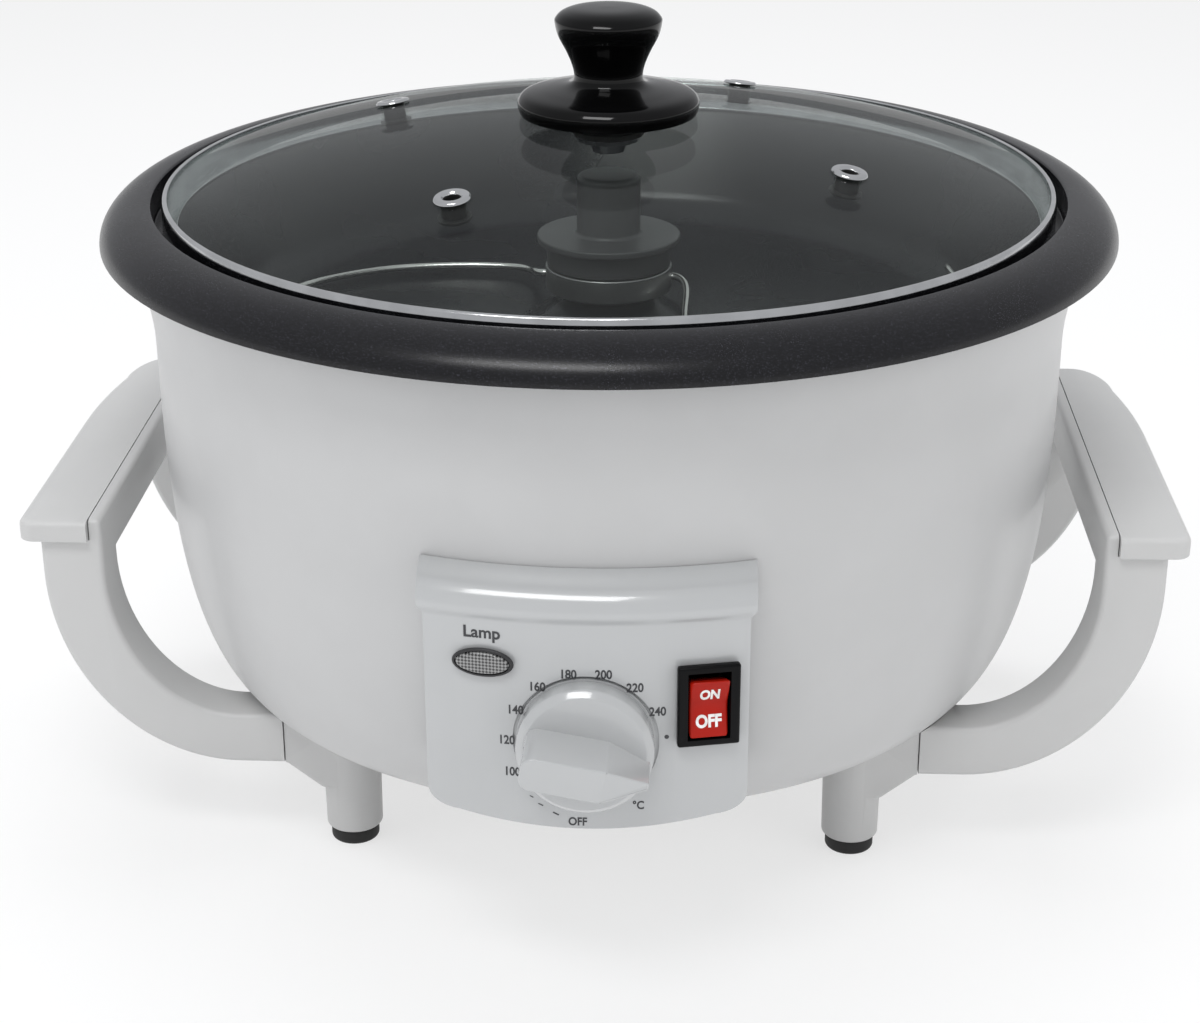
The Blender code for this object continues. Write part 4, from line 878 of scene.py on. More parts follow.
@dataclass(frozen=True)
class Lens(Finish):
    """The pilot lamp's ribbed clear lens.

    Attributes:
        colour: Its linear base colour, unlit.
        ribs: Ribs per metre along each slant.
    """

    colour: Colour = (0.15, 0.15, 0.15)
    ribs: float = 3800.0

    def build(self, nodes: Nodes) -> bpy.types.Material:
        """Builds crossed slanted ribs that bump the lens, with painted shade and painted glints
        along the ribs in its base colour.
        """
        spot = nodes.place()
        across, up = nodes.axis(spot, "X"), nodes.axis(spot, "Z")
        first = ((across + up) * self.ribs).sine()
        second = ((across - up) * self.ribs).sine()
        cells = first * second * 0.5 + 0.5
        # dark and bright are painted shade and painted glints of the ribs, laid into the base
        # colour in the crossed rib pattern
        dark = tuple(part * 0.2 for part in self.colour)
        bright = tuple(min(part * 2.1, 1) for part in self.colour)
        base = nodes.blend(nodes.between(cells, 0.25, 0.75), dark, bright)
        rough = nodes.noise(300, 2) * 0.05 + 0.08
        normal = nodes.bump(cells, 0.0002, 0.5)
        return nodes.done(nodes.surface(
            Base_Color=base, Roughness=rough, Normal=normal, Coat_Weight=0.6,
        ))


@dataclass(frozen=True)
class Ink(Finish):
    """Printed or filled lettering.

    Attributes:
        colour: The ink's linear colour.
    """

    colour: Colour = (0.03, 0.03, 0.03)

    def build(self, nodes: Nodes) -> bpy.types.Material:
        """Builds slightly uneven ink."""
        thin = tuple(min(part * 1.25 + 0.01, 1) for part in self.colour)
        base = nodes.blend(nodes.between(nodes.noise(500, 2), 0.35, 0.75), self.colour, thin)
        rough = nodes.noise(400, 1) * 0.1 + 0.35
        return nodes.done(nodes.surface(Base_Color=base, Roughness=rough))


class Finishes:
    """Every finish of the roaster."""

    SHELL = Moulding("shell", "housing_paint", (0.55, 0.552, 0.552), 0.40, 0.10, 0.00002, 0.025)
    HANDLE = Moulding("handle", "handle_plastic", (0.575, 0.575, 0.57), 0.42, 0.0, 0.00002, 0.02)
    PANEL = Moulding("panel", "panel_gloss", (0.50, 0.51, 0.515), 0.20, 0.75, 0.000006, 0.015)
    PAN = NonStick("pan", "pan_nonstick")
    GLASS = Glass("glass", "lid_glass")
    BAND = Metal("band", "bright_steel", (0.74, 0.75, 0.76), 0.16, 0.1)
    WIRE = Metal("wire", "bright_steel", (0.80, 0.79, 0.77), 0.22, 0.1)
    KNOB = Moulding(
        "knob", "knob_bakelite", (0.0012, 0.0012, 0.0013), 0.16, 0.45, 0.000003, 0.2, 0.05
    )
    RUBBER = Rubber("rubber", "rubber_black")
    HUB = Moulding("hub", "hub_grey", (0.055, 0.055, 0.057), 0.45, 0.0, 0.00003, 0.08)
    COLLAR = Metal("collar", "collar_steel", (0.42, 0.42, 0.42), 0.40, 0.12)
    BEZEL = Moulding(
        "bezel", "switch_black", (0.003, 0.003, 0.0035), 0.4, 0.0, 0.00001, 0.15, 0.15
    )
    ROCKER = Moulding(
        "rocker", "rocker_red", (0.43, 0.009, 0.0015), 0.42, 0.0, 0.000004, 0.06, 0.22
    )
    LAMP_RIM = Moulding(
        "lamp_rim", "lamp_rim_grey", (0.04, 0.04, 0.042), 0.35, 0.0, 0.00002, 0.1, 0.3
    )
    LENS = Lens("lens", "lamp_clear")
    SHEET = Metal("sheet", "sheet_steel", (0.50, 0.50, 0.49), 0.42, 0.12, (1, 6, 1))
    HEATER = Metal("heater", "heater_steel", (0.22, 0.21, 0.20), 0.5, 0.1)
    BRASS = Metal("brass", "brass", (0.62, 0.44, 0.17), 0.32, 0.1)
    CERAMIC = Moulding("ceramic", "terminal_ceramic", (0.70, 0.66, 0.56), 0.5, 0.0, 0.00003, 0.05)
    PRINT = Ink("print", "panel_gloss", (0.035, 0.036, 0.04))
    WHITE = Ink("white_fill", "rocker_red", (0.82, 0.80, 0.78))


# ---- sub-assemblies ---------------------------------------------------------------------------


@dataclass
class Housing:
    """The bowl-shaped housing.

    Attributes:
        floor_r: Radius of its flat floor.
        floor_z: Height of its floor.
        side_r: Radius of its upright side.
        side_z: Height at which the round side starts.
        rim_r: Radius of its rim.
        rim_z: Height of its rim.
        wall: Wall thickness.
        opening_r: Radius of the opening in its floor.
        power: How square the round side is.
    """

    floor_r: float = 0.0937
    floor_z: float = 0.036
    side_r: float = 0.124
    side_z: float = 0.136
    rim_r: float = 0.127
    rim_z: float = 0.1627
    wall: float = 0.002
    opening_r: float = 0.070
    power: float = 2.77

    def side(self, inset: float = 0.0, steps: int = 30) -> list[Point]:
        """The side from the rim down to the floor, moved inwards.

        Args:
            inset: How far it is moved in.
            steps: Points along the round part.

        Returns:
            (radius, height) points.
        """
        points: list[Point] = []
        for step in range(8):
            share = 1 - step / 8
            flare = (1 - math.cos(math.pi * share)) / 2
            points.append((
                self.side_r - inset + (self.rim_r - self.side_r) * flare,
                self.side_z + (self.rim_z - self.side_z) * share,
            ))
        for step in range(steps + 1):
            turn = math.pi / 2 * step / steps
            across = math.cos(turn) ** (2 / self.power) if step < steps else 0.0
            down = math.sin(turn) ** (2 / self.power)
            points.append((
                self.floor_r + (self.side_r - self.floor_r - inset) * across,
                self.side_z - (self.side_z - self.floor_z - inset) * down,
            ))
        return points

    def tool(self) -> bpy.types.Object:
        """A solid a little larger than the housing, which trims what is fitted against it."""
        grown = self.side(-0.0003)
        profile = [(0, grown[0][1]), *grown, (0, grown[-1][1])]
        return Bench.turned("bowl_tool", profile, 160, closed=False)

    def build(self) -> None:
        """Builds and dresses the housing."""
        floor = [(self.opening_r, self.floor_z), (self.opening_r, self.floor_z + self.wall)]
        profile = [*self.side(), *floor, *reversed(self.side(self.wall))]
        shell = Bench.turned("shell", profile, 192)
        Bench.finish(shell, Body.BASE, Finishes.SHELL, ["outer_housing"])


@dataclass
class Pan:
    """The roasting pan with its rolled flange, shallow wall, floor and middle tube.

    Attributes:
        flange_r: Radius of the flange.
        flange_z: Height of the flange's widest edge.
        roll: Width and height of the flange's roll.
        seat_z: Height of the lid's seat.
        wall_top_r: Radius of the inside at the seat.
        knee: Radius and height where wall and floor meet.
        floor_r: Radius of the flat floor.
        floor_z: Height of the floor.
        wall: Wall thickness.
        tube: Outer and inner radius of the middle tube.
        tube_z: Lower and upper end of the tube.
        cone: Radius of the cone's foot and height of its top.
    """

    flange_r: float = 0.1367
    flange_z: float = 0.163
    roll: Point = (0.014, 0.0094)
    seat_z: float = 0.165
    wall_top_r: float = 0.1165
    knee: Point = (0.103, 0.138)
    floor_r: float = 0.094
    floor_z: float = 0.134
    wall: float = 0.0025
    tube: Point = (0.0105, 0.0063)
    tube_z: Point = (0.124, 0.152)
    cone: Point = (0.022, 0.1422)

    def build(self) -> None:
        """Builds and dresses the pan."""
        lip_r = self.flange_r - self.roll[0]
        roll = [(x, z, 0.0) for x, z in arc((lip_r, self.flange_z), self.roll, 90, 0, 18)[1:]]
        under = self.floor_z - self.wall
        (outer, bore), (low, top) = self.tube, self.tube_z
        corners = [
            (self.wall_top_r + self.wall, self.flange_z, 0.0),
            (self.knee[0] + self.wall, self.knee[1] - self.wall / 2, 0.004),
            (self.floor_r + self.wall / 2, under, 0.004),
            (outer, under, 0.0),
            (outer, low, 0.0),
            (bore, low, 0.0),
            (bore, top, 0.0),
            (outer, top, 0.0008),
            (outer, self.cone[1], 0.003),
            (self.cone[0], self.floor_z, 0.008),
            (self.floor_r, self.floor_z, 0.010),
            (self.knee[0], self.knee[1], 0.010),
            (self.wall_top_r, self.seat_z, 0.0012),
            (lip_r, self.seat_z, 0.0006),
            (lip_r, self.flange_z + self.roll[1], 0.0010),
        ]
        pan = Bench.turned("pan", filleted([*roll, *corners], closed=True), 160)
        Bench.finish(pan, Body.BASE, Finishes.PAN, ["inner_pot"])


@dataclass
class Lid:
    """The glass dome with its steel band, vent eyelets and knob.

    Attributes:
        dome_r: Radius of curvature of the dome.
        top_z: Height of the dome's crown.
        glass_r: Radius of the glass.
        thick: Its thickness.
        band_r: Outer radius of the steel band.
        vent_r: Radius of the ring on which the eyelets stand.
        vent_turn: Angle of the first eyelet in degrees.
        knob_r: Radius of the knob's skirt.
        knob_h: Height of the knob.
        knob_z: Height of the knob's foot.
        knob_recess: Radius and depth of the recess under the knob.
        knob_bore: Radius of the screw's bore and height of its end.
        band_z: Height of the band's foot, its ledge and its shoulder.
        band_lip: Radius and thickness of the band's lip on the glass.
        band_foot_w: Width of the band's foot.
    """

    dome_r: float = 0.379
    top_z: float = 0.1920
    glass_r: float = 0.1188
    thick: float = 0.004
    band_r: float = 0.120
    vent_r: float = 0.0724
    vent_turn: float = 240.27
    knob_r: float = 0.0244
    knob_h: float = 0.0287
    knob_z: float = 0.1916
    knob_recess: Point = (0.0195, 0.0022)
    knob_bore: Point = (0.0021, 0.2075)
    band_z: Place = (0.1653, 0.1660, 0.1722)
    band_lip: Point = (0.1184, 0.0005)
    band_foot_w: float = 0.004

    def dome(self, radius: float) -> Point:
        """A point of the dome's outer face."""
        return radius, self.top_z - self.dome_r + math.sqrt(self.dome_r**2 - radius**2)

    def vents(self) -> list[tuple[Place, Place]]:
        """Place and turn of each eyelet."""
        radius, height = self.dome(self.vent_r)
        lean = math.asin(self.vent_r / self.dome_r)
        turns = [math.radians(self.vent_turn + 90 * number) for number in range(4)]
        return [
            ((radius * math.cos(turn), AXIS_Y + radius * math.sin(turn), height), (0, lean, turn))
            for turn in turns
        ]

    def build_glass(self) -> None:
        """Builds the dome with its eyelet holes."""
        outer = [self.dome(0.0024 + (self.glass_r - 0.0024) * ring / 24) for ring in range(25)]
        inner = [(radius, height - self.thick) for radius, height in reversed(outer)]
        glass = Bench.turned("glass", [*outer, *inner], 160)
        for number, (place, turn) in enumerate(self.vents()):
            tool = Bench.drum(f"vent_tool_{number}", 0.0036, self.thick * 3, place, turn)
            Bench.carve(glass, tool)
        Bench.smooth(glass, 30)
        Bench.finish(glass, Body.LID, Finishes.GLASS, ["lid_glass"])

    def build_band(self) -> None:
        """Builds the steel band with its rounded shoulder."""
        lip_r, thick = self.band_lip
        low, ledge, shoulder = self.band_z
        lip_z = self.dome(lip_r)[1] + GAP
        inside = self.band_r - thick
        corners = [
            (lip_r, lip_z + thick, 0.00025),
            (self.band_r - 0.0004, lip_z + thick - 0.0001, 0.0005),
            (self.band_r, shoulder, 0.0008),
            (self.band_r, low, 0.0004),
            (self.band_r - self.band_foot_w, low, 0.0002),
            (self.band_r - self.band_foot_w, ledge, 0.0002),
            (inside, ledge, 0.0),
            (inside, shoulder, 0.0),
            (self.glass_r, self.dome(self.glass_r)[1] + GAP, 0.0),
            (lip_r, lip_z, 0.0002),
        ]
        band = Bench.turned("band", filleted(corners, closed=True, steps=3), 160)
        Bench.finish(band, Body.LID, Finishes.BAND, ["lid_rim_band"])

    def build_vents(self) -> None:
        """Builds the eyelets: a steel ring over each hole and a dark sleeve through it."""
        under = -self.thick - GAP
        ring = [
            (0.0029, 0.0012, 0.0003), (0.0044, 0.0011, 0.0005), (0.0050, 0.0003, 0.0002),
            (0.0022, 0.0003, 0.0), (0.0022, 0.0006, 0.0004),
        ]
        sleeve = [
            (0.0031, 0.0003, 0.0), (0.0031, under, 0.0), (0.0044, under, 0.0002),
            (0.0044, under - 0.0009, 0.0003), (0.0021, under - 0.0009, 0.0003),
            (0.0021, 0.0003, 0.0),
        ]
        for number, (place, turn) in enumerate(self.vents()):
            for name, corners, finish, replaced in (
                ("vent", ring, Finishes.BAND, [f"lid_vent_{number + 1}"]),
                ("vent_sleeve", sleeve, Finishes.RUBBER, []),
            ):
                profile = filleted(corners, closed=True, steps=3)
                piece = Bench.turned(f"{name}_{number + 1}", profile, 32, place=place, turn=turn)
                Bench.finish(piece, Body.LID, finish, replaced)

    def build_knob(self) -> None:
        """Builds the turned knob."""
        shares = (
            (0, 1), (0.34, 0.99), (0.50, 0.955), (0.575, 0.90), (0.585, 0.855), (0.553, 0.74),
            (0.467, 0.60), (0.406, 0.48), (0.379, 0.37), (0.43, 0.286), (0.70, 0.24), (0.915, 0.20),
            (0.99, 0.145), (1, 0.09), (0.975, 0.018), (0.935, 0),
        )
        crown_z = self.knob_z + self.knob_h
        knots = [(self.knob_r * across, 0, self.knob_z + self.knob_h * up) for across, up in shares]
        outline = [
            (min(max(spot.x, 0), self.knob_r), min(spot.z, crown_z)) for spot in flowing(knots, 5)
        ]
        outline[0] = (0, crown_z)
        (recess_r, recess_h), (bore_r, bore_z) = self.knob_recess, self.knob_bore
        top = self.knob_z + recess_h
        inside = [
            (recess_r, self.knob_z), (recess_r, top), (bore_r, top), (bore_r, bore_z), (0, bore_z),
        ]
        knob = Bench.turned("knob", [*outline, *inside], 96, closed=False, sharp=50)
        Bench.finish(knob, Body.LID, Finishes.KNOB, ["lid_knob"])

    def build(self) -> None:
        """Builds and dresses the whole lid."""
        self.build_glass()
        self.build_band()
        self.build_vents()
        self.build_knob()


@dataclass
class Stirrer:
    """The stirrer's stepped hub, its collar and the two wire arms.

    Attributes:
        top_z: Height of the post's top.
        floor_r: Radius of the pan's floor, which the arms reach.
        wire_r: Radius of the arms' wire.
        pan_floor_z: Height of the pan's floor.
        collar_r: Radius of the collar, from which the arms start.
        knots: Share of the way out (past 1, of the knee's width), turn and height of each knot.
    """

    top_z: float = 0.175
    floor_r: float = 0.094
    wire_r: float = 0.001
    pan_floor_z: float = 0.134
    collar_r: float = 0.0174
    knots: Sequence[Place] = (
        (-0.0309, -3.81, 0.0125), (0.0244, -4.76, 0.0123), (0.0701, -19.23, 0.011),
        (0.1445, -41.87, 0.0065), (0.2624, -53.13, 0.0035), (0.3886, -52.06, 0.0027),
        (0.566, -39.32, 0.0025), (0.7625, -26.23, 0.0025), (0.9354, -12.32, 0.0026),
        (1.28, 1.19, 0.003), (1.7234, 11.48, 0.0042), (1.8562, 18.93, 0.0055),
    )

    KNEE_W = 0.009

    def route(self, extra: float) -> list[Vector]:
        """An arm's middle line.

        Args:
            extra: Turn of the whole arm in radians.

        Returns:
            Points from the collar outwards.
        """
        spots = []
        for share, turn, rise in self.knots:
            floor_w = self.floor_r - self.collar_r
            radius = self.collar_r + floor_w * min(share, 1) + self.KNEE_W * max(share - 1, 0)
            angle = math.radians(turn) + extra
            across, along = radius * math.cos(angle), radius * math.sin(angle)
            spots.append((across, AXIS_Y + along, self.pan_floor_z + rise))
        return flowing(spots, 6)

    def build(self) -> None:
        """Builds and dresses the stirrer."""
        corners = [
            (0, self.top_z, 0.0), (0.0087, self.top_z, 0.0016), (0.0087, 0.1584, 0.0012),
            (0.0196, 0.1584, 0.0005), (0.0196, 0.1564, 0.0005), (0.0170, 0.1564, 0.0004),
            (0.0170, 0.150, 0.0003), (0.0132, 0.150, 0.0), (0.0132, 0.1535, 0.0),
            (0.0033, 0.1535, 0.0), (0.0033, 0.169, 0.0), (0, 0.169, 0.0),
        ]
        hub = Bench.turned("hub", filleted(corners, closed=False), 72, closed=False)
        Bench.finish(hub, Body.STIRRER, Finishes.HUB, ["stirrer_hub"])
        ring = [
            (self.collar_r, 0.1497, 0.0004), (self.collar_r, 0.1432, 0.0006),
            (0.0135, 0.1432, 0.0003),
            (0.0135, 0.1497, 0.0),
        ]
        collar = Bench.turned("collar", filleted(ring, closed=True), 72)
        for side in Side:
            extra = 0 if side is Side.RIGHT else math.pi
            route = self.route(extra)
            start = route[0] + (route[1] - route[0]).normalized() * 0.0015
            hole = Bench.drum(
                f"arm_tool_{side.word}", 0.0013, 0.0044, tuple(start), (0, math.pi / 2, extra), 24
            )
            Bench.carve(collar, hole)
            arm = Bench.wire(f"arm_{side.word}", route, self.wire_r)
            Bench.finish(arm, Body.STIRRER, Finishes.WIRE, [f"stirrer_arm_{side.word}"])
        Bench.smooth(collar, 30)
        Bench.finish(collar, Body.STIRRER, Finishes.COLLAR, ["stirrer_collar"])


@dataclass
class Handle:
    """A loop handle, its cap plate, and the size of both.

    Attributes:
        side: Which side it is on.
        arc_centre: Middle of the loop's arcs, as x and z.
        outer: Outer x and lowest z of the loop.
        inner: Inner x and lowest z of the loop's inside.
        end_x: Where the loop meets the legs' gussets.
        top_z: Top of the arms, under the cap.
        strip: Outer x and top z of the strip behind the cap.
        half_y: Half its length.
        arm_y: Inner edge of its arms.
        beam_z: Underside of the beam between them.
        spare: Length modelled past each seam, then cut off so that the seam's edges stay sharp.
    """

    side: Side
    arc_centre: Point = (0.098, 0.082)
    outer: Point = (0.1475, 0.026)
    inner: Point = (0.131, 0.0405)
    end_x: float = 0.08615
    top_z: float = 0.0917
    strip: Point = (0.1342, 0.0975)
    half_y: float = 0.063
    arm_y: float = 0.048
    beam_z: float = 0.0835
    spare: float = 0.004

    def outline(self) -> list[Point]:
        """The side view, from its lower end round to its top and back."""
        outer = (self.outer[0] - self.arc_centre[0], self.arc_centre[1] - self.outer[1])
        inner = (self.inner[0] - self.arc_centre[0], self.arc_centre[1] - self.inner[1])
        return [
            (self.end_x - self.spare, self.outer[1]),
            *arc(self.arc_centre, outer, -90, 0, 26),
            (self.outer[0], self.strip[1]),
            (self.inner[0], self.strip[1]),
            *arc(self.arc_centre, inner, 0, -90, 26),
            (self.end_x - self.spare, self.inner[1]),
        ]

    def cap_outline(self) -> list[Point]:
        """The cap's plan on this side."""
        front = arc((0.1485, -0.0605), (0.0045, 0.0045), -90, 0, 8)
        taper = [
            (0.153 - 0.0035 * share**2, 0.010 + 0.037 * share)
            for share in (0, 0.15, 0.3, 0.45, 0.6, 0.75, 0.9)
        ]
        back = arc((0.1385, 0.047), (0.011, 0.019), 0, 90, 14)
        seam_x = 0.1345 - self.spare
        outline = [(seam_x, -0.065), *front, *taper, *back, (seam_x, 0.066)]
        return outline if self.side is Side.RIGHT else [(-x, y) for x, y in reversed(outline)]

    def cut(self, piece: bpy.types.Object, across: Point, level: Point) -> None:
        """Cuts away what lies in a range of x, outwards from the middle, and of z.

        Args:
            piece: What is cut.
            across: Least and greatest distance from the middle plane.
            level: Lowest and highest z.
        """
        size = (across[1] - across[0], 0.2, level[1] - level[0])
        middle = (self.side.value * sum(across) / 2, AXIS_Y, sum(level) / 2)
        Bench.carve(piece, Bench.block("seam_tool", size, middle))

    def build(self, bowl: bpy.types.Object) -> None:
        """Builds and dresses the handle.

        Args:
            bowl: The tool that trims it to the housing.
        """
        turn = (QUARTER, 0, 0 if self.side is Side.RIGHT else math.pi)
        loop = Bench.slab(
            f"handle_{self.side.word}_loop", self.outline(), 2 * self.half_y, (0, AXIS_Y, 0), turn
        )
        place = (self.side.value * self.outer[0], AXIS_Y, 0)
        space = Bench.block("grip_tool", (0.196, 2 * self.arm_y, 2 * self.beam_z), place)
        Bench.carve(loop, space)
        Bench.rounded(loop, 0.0022, 4)
        self.cut(loop, (self.strip[0], 0.2), (self.top_z, 0.12))
        self.cut(loop, (0.06, self.end_x), (0.01, 0.06))
        Bench.carve(loop, bowl, keep=True)
        Bench.smooth(loop)
        Bench.finish(loop, Body.BASE, Finishes.HANDLE, [f"handle_{self.side.word}"])
        base_z = self.top_z + GAP
        thick = self.strip[1] - base_z + self.spare
        cap = Bench.slab(
            f"handle_{self.side.word}_cap", self.cap_outline(), thick,
            (0, AXIS_Y, self.strip[1] - thick / 2), (0, 0, 0),
        )
        Bench.rounded(cap, 0.0019, 4)
        self.cut(cap, (0.12, self.strip[0] + GAP), (0.08, 0.12))
        self.cut(cap, (0.12, 0.2), (0.08, base_z))
        Bench.smooth(cap)
        Bench.finish(cap, Body.BASE, Finishes.HANDLE, [f"handle_cap_{self.side.word}"])


@dataclass
class Leg:
    """A tapered round leg with the gusset that meets the handle, and its rubber foot.

    Attributes:
        side: Its side.
        end: Its end.
        spot: Its middle from the pan's axis.
        top_r: Radius at the housing.
        end_r: Radius at the foot.
        foot: Radius and height of the foot.
        ends_z: Lower and upper end of the leg.
        web_z: Low edge of the gusset at the leg, at the handle, and its hidden top.
        web: Width of its level part and of the whole, and its thickness.
    """

    side: Side
    end: End
    spot: Point = (0.0687, 0.0554)
    top_r: float = 0.0080
    end_r: float = 0.0077
    foot: Point = (0.0066, 0.004)
    ends_z: Point = (0.0043, 0.0357)
    web_z: Place = (0.018, 0.0258, 0.045)
    web: Place = (0.0073, 0.01715, 0.0144)

    def build(self, bowl: bpy.types.Object) -> None:
        """Builds and dresses the leg.

        Args:
            bowl: The tool that trims it to the housing.
        """
        name = f"{self.end.word}_{self.side.word}"
        x, y = self.side.value * self.spot[0], AXIS_Y + self.end.value * self.spot[1]
        low, high = self.ends_z
        corners = [
            (0, high, 0.0), (self.top_r, high, 0.0), (self.end_r, low, 0.0009), (0, low, 0.0),
        ]
        leg = Bench.turned(
            f"leg_piece_{name}", filleted(corners, closed=False), 48, closed=False, place=(x, y, 0)
        )
        (level_w, reach, thick), spare = self.web, 0.004
        inner_z, outer_z, top_z = self.web_z
        web = [
            (0, inner_z), (level_w, inner_z), (reach, outer_z), (reach + spare, outer_z),
            (reach + spare, top_z), (0, top_z),
        ]
        turn = (QUARTER, 0, 0 if self.side is Side.RIGHT else math.pi)
        gusset = Bench.slab("gusset_tool", web, thick, (x, y, 0), turn)
        Bench.rounded(gusset, 0.0012, 3)
        seam = Bench.block(
            "seam_tool", (spare * 2, 0.03, 0.06),
            (self.side.value * (self.spot[0] + reach + spare), y, 0.03),
        )
        Bench.carve(gusset, seam)
        Bench.carve(leg, gusset, "UNION")
        Bench.carve(leg, bowl, keep=True)
        Bench.smooth(leg)
        Bench.finish(leg, Body.BASE, Finishes.HANDLE, [f"leg_{name}"])
        radius, height = self.foot
        corners = [(0, height, 0.0), (radius, height, 0.0004), (radius, 0, 0.0009), (0, 0, 0.0)]
        pad = Bench.turned(
            f"pad_{name}", filleted(corners, closed=False), 40, closed=False, place=(x, y, 0)
        )
        Bench.finish(pad, Body.BASE, Finishes.RUBBER, [f"foot_{name}"])


class ScaleMark(Enum):
    """What is printed round the dial: words, clock angle in degrees, and height of a capital."""

    OFF = ("OFF", 187.0, 0.0022)
    T100 = ("100", 249.0, 0.0023)
    T120 = ("120", 273.6, 0.0023)
    T140 = ("140", 298.2, 0.0023)
    T160 = ("160", 322.8, 0.0023)
    T180 = ("180", 347.4, 0.0023)
    T200 = ("200", 12.0, 0.0023)
    T220 = ("220", 36.6, 0.0023)
    T240 = ("240", 61.2, 0.0023)
    UNIT = ("°C", 140.0, 0.0022)


@dataclass
class ControlBox:
    """The glossy control box on the housing's front, with its printed scale.

    Attributes:
        face_r: Radius of its curved face.
        band: Radius and low edge of its rolled top band.
        band_lip: Height of the soft step under the band.
        half_w: Half width of the face.
        band_half_w: Half width of the band.
        top_z: Height of its top.
        low_z: Lowest height, in the middle.
        seat_r: Radius where its top meets the housing.
        back_r: Radius of its back.
        dial_z: Height of the dial's axis.
        scale_r: Half width and half height of the ring of numbers.
        scale_middle: How far its middle lies to the right of the dial's axis and over it.
        hollow_z: Lower and upper end of the hollow inside.
        hollow_r: Radii of its back and front.
        hollow_w: Width of the hollow.
    """

    face_r: float = PANEL_R
    band: Point = (0.1349, 0.1036)
    band_lip: float = 0.0025
    half_w: float = 0.0385
    band_half_w: float = 0.040
    top_z: float = 0.114
    low_z: float = 0.0497
    seat_r: float = 0.12358
    back_r: float = 0.100
    dial_z: float = 0.0733
    scale_r: Point = (0.0190, 0.0201)
    scale_middle: Point = (0.0003, -0.0017)
    hollow_z: Point = (0.056, 0.1005)
    hollow_r: Point = (0.0975, 0.1315)
    hollow_w: float = 0.072

    def step(self, low: float, high: float, steps: int = 8) -> list[Point]:
        """The soft step from the face out to the band.

        Args:
            low: Where it starts, across the step.
            high: Where it ends.
            steps: Points along it.

        Returns:
            (across, height) points upwards.
        """
        points = []
        for number in range(steps + 1):
            share = number / steps
            across = low + (high - low) * (1 - math.cos(math.pi * share)) / 2
            points.append((across, self.band[1] + self.band_lip * share))
        return points

    def outline(self) -> list[Point]:
        """The front view, with the wider band on top and rounded low corners."""
        corner_x, sag, corner_h = 0.031, 0.0028, 0.005
        low = [
            (corner_x * step / 12, self.low_z + sag * (step / 12) ** 2) for step in range(-12, 13)
        ]
        corner = (self.half_w - corner_x, corner_h)
        right = arc((corner_x, self.low_z + sag + corner_h), corner, -90, 0, 10)[1:]
        right += [
            *self.step(self.half_w, self.band_half_w),
            (self.band_half_w, self.top_z + 0.0025),
        ]
        return low + right + [(-x, z) for x, z in reversed(right)]

    def build_box(self, bowl: bpy.types.Object) -> None:
        """Builds the hollow box with its openings.

        Args:
            bowl: The tool that trims it to the housing.
        """
        band_low = self.band[1] + self.band_lip
        half = (self.band[0] - self.seat_r, self.top_z - band_low)
        roll = arc((self.seat_r, band_low), half, 90, 0, 16)
        profile = [
            (self.back_r, self.top_z), *roll[:-1], *reversed(self.step(self.face_r, self.band[0])),
            (self.face_r, 0.044), (self.back_r, 0.044),
        ]
        box = Bench.turned("control_box_shell", profile, 288)
        front = Bench.slab(
            "front_tool", self.outline(), self.face_r - self.back_r,
            (0, AXIS_Y - self.face_r, 0), (QUARTER, 0, 0),
        )
        Bench.carve(box, front, "INTERSECT")
        Bench.rounded(box, 0.0008, 3, 25)
        (low, high), (back, front_r) = self.hollow_z, self.hollow_r
        hollow = Bench.turned(
            "hollow_tool", [(front_r, high), (front_r, low), (back, low), (back, high)], 96
        )
        width = Bench.block(
            "width_tool", (self.hollow_w, PANEL_R, PANEL_R), (0, AXIS_Y - PANEL_R, PANEL_R / 2)
        )
        Bench.carve(hollow, width, "INTERSECT")
        Bench.carve(box, hollow)
        Bench.carve(box, bowl, keep=True)
        dial_hole = Bench.drum(
            "dial_tool", 0.00445, 0.012, tuple(on_panel(0, 0, self.dial_z)), (QUARTER, 0, 0)
        )
        Bench.carve(box, dial_hole)
        moat = [(0.0166, 0), (0.0174, 0), (0.0174, 0.0022), (0.0166, 0.0022)]
        groove = Bench.turned(
            "groove_tool", moat, 96, place=tuple(on_panel(0, -0.0017, self.dial_z)),
            turn=(QUARTER, 0, 0),
        )
        Bench.carve(box, groove)
        turn = math.asin(0.0286 / PANEL_R)
        spot = tuple(on_panel(turn, 0, 0.083))
        Bench.carve(box, Bench.block("switch_tool", (0.0136, 0.012, 0.0196), spot, (0, 0, turn)))
        turn = math.asin(-0.024 / PANEL_R)
        ring = arc((0, 0), (0.0068, 0.00305), 0, 360, 48)[:-1]
        lamp_hole = Bench.slab(
            "lamp_tool", ring, 0.01, tuple(on_panel(turn, 0, 0.0933)), (QUARTER, 0, turn)
        )
        Bench.carve(box, lamp_hole)
        Bench.smooth(box, 25)
        Bench.finish(box, Body.BASE, Finishes.PANEL, ["control_box"])

    def spot(self, angle: float, inset: float = 0.0, out: float = 0.00003) -> tuple[Vector, Place]:
        """A place on the face round the dial, and the turn that lays a glyph there.

        Args:
            angle: Clock angle in degrees.
            inset: Distance inside the ring of numbers.
            out: Height over the face.

        Returns:
            The place and its Euler turn.
        """
        clock = math.radians(angle)
        across = self.scale_middle[0] + (self.scale_r[0] - inset) * math.sin(clock)
        height = self.dial_z + self.scale_middle[1] + (self.scale_r[1] - inset) * math.cos(clock)
        turn = math.asin(across / PANEL_R)
        return on_panel(turn, out, height), (QUARTER, 0, turn)

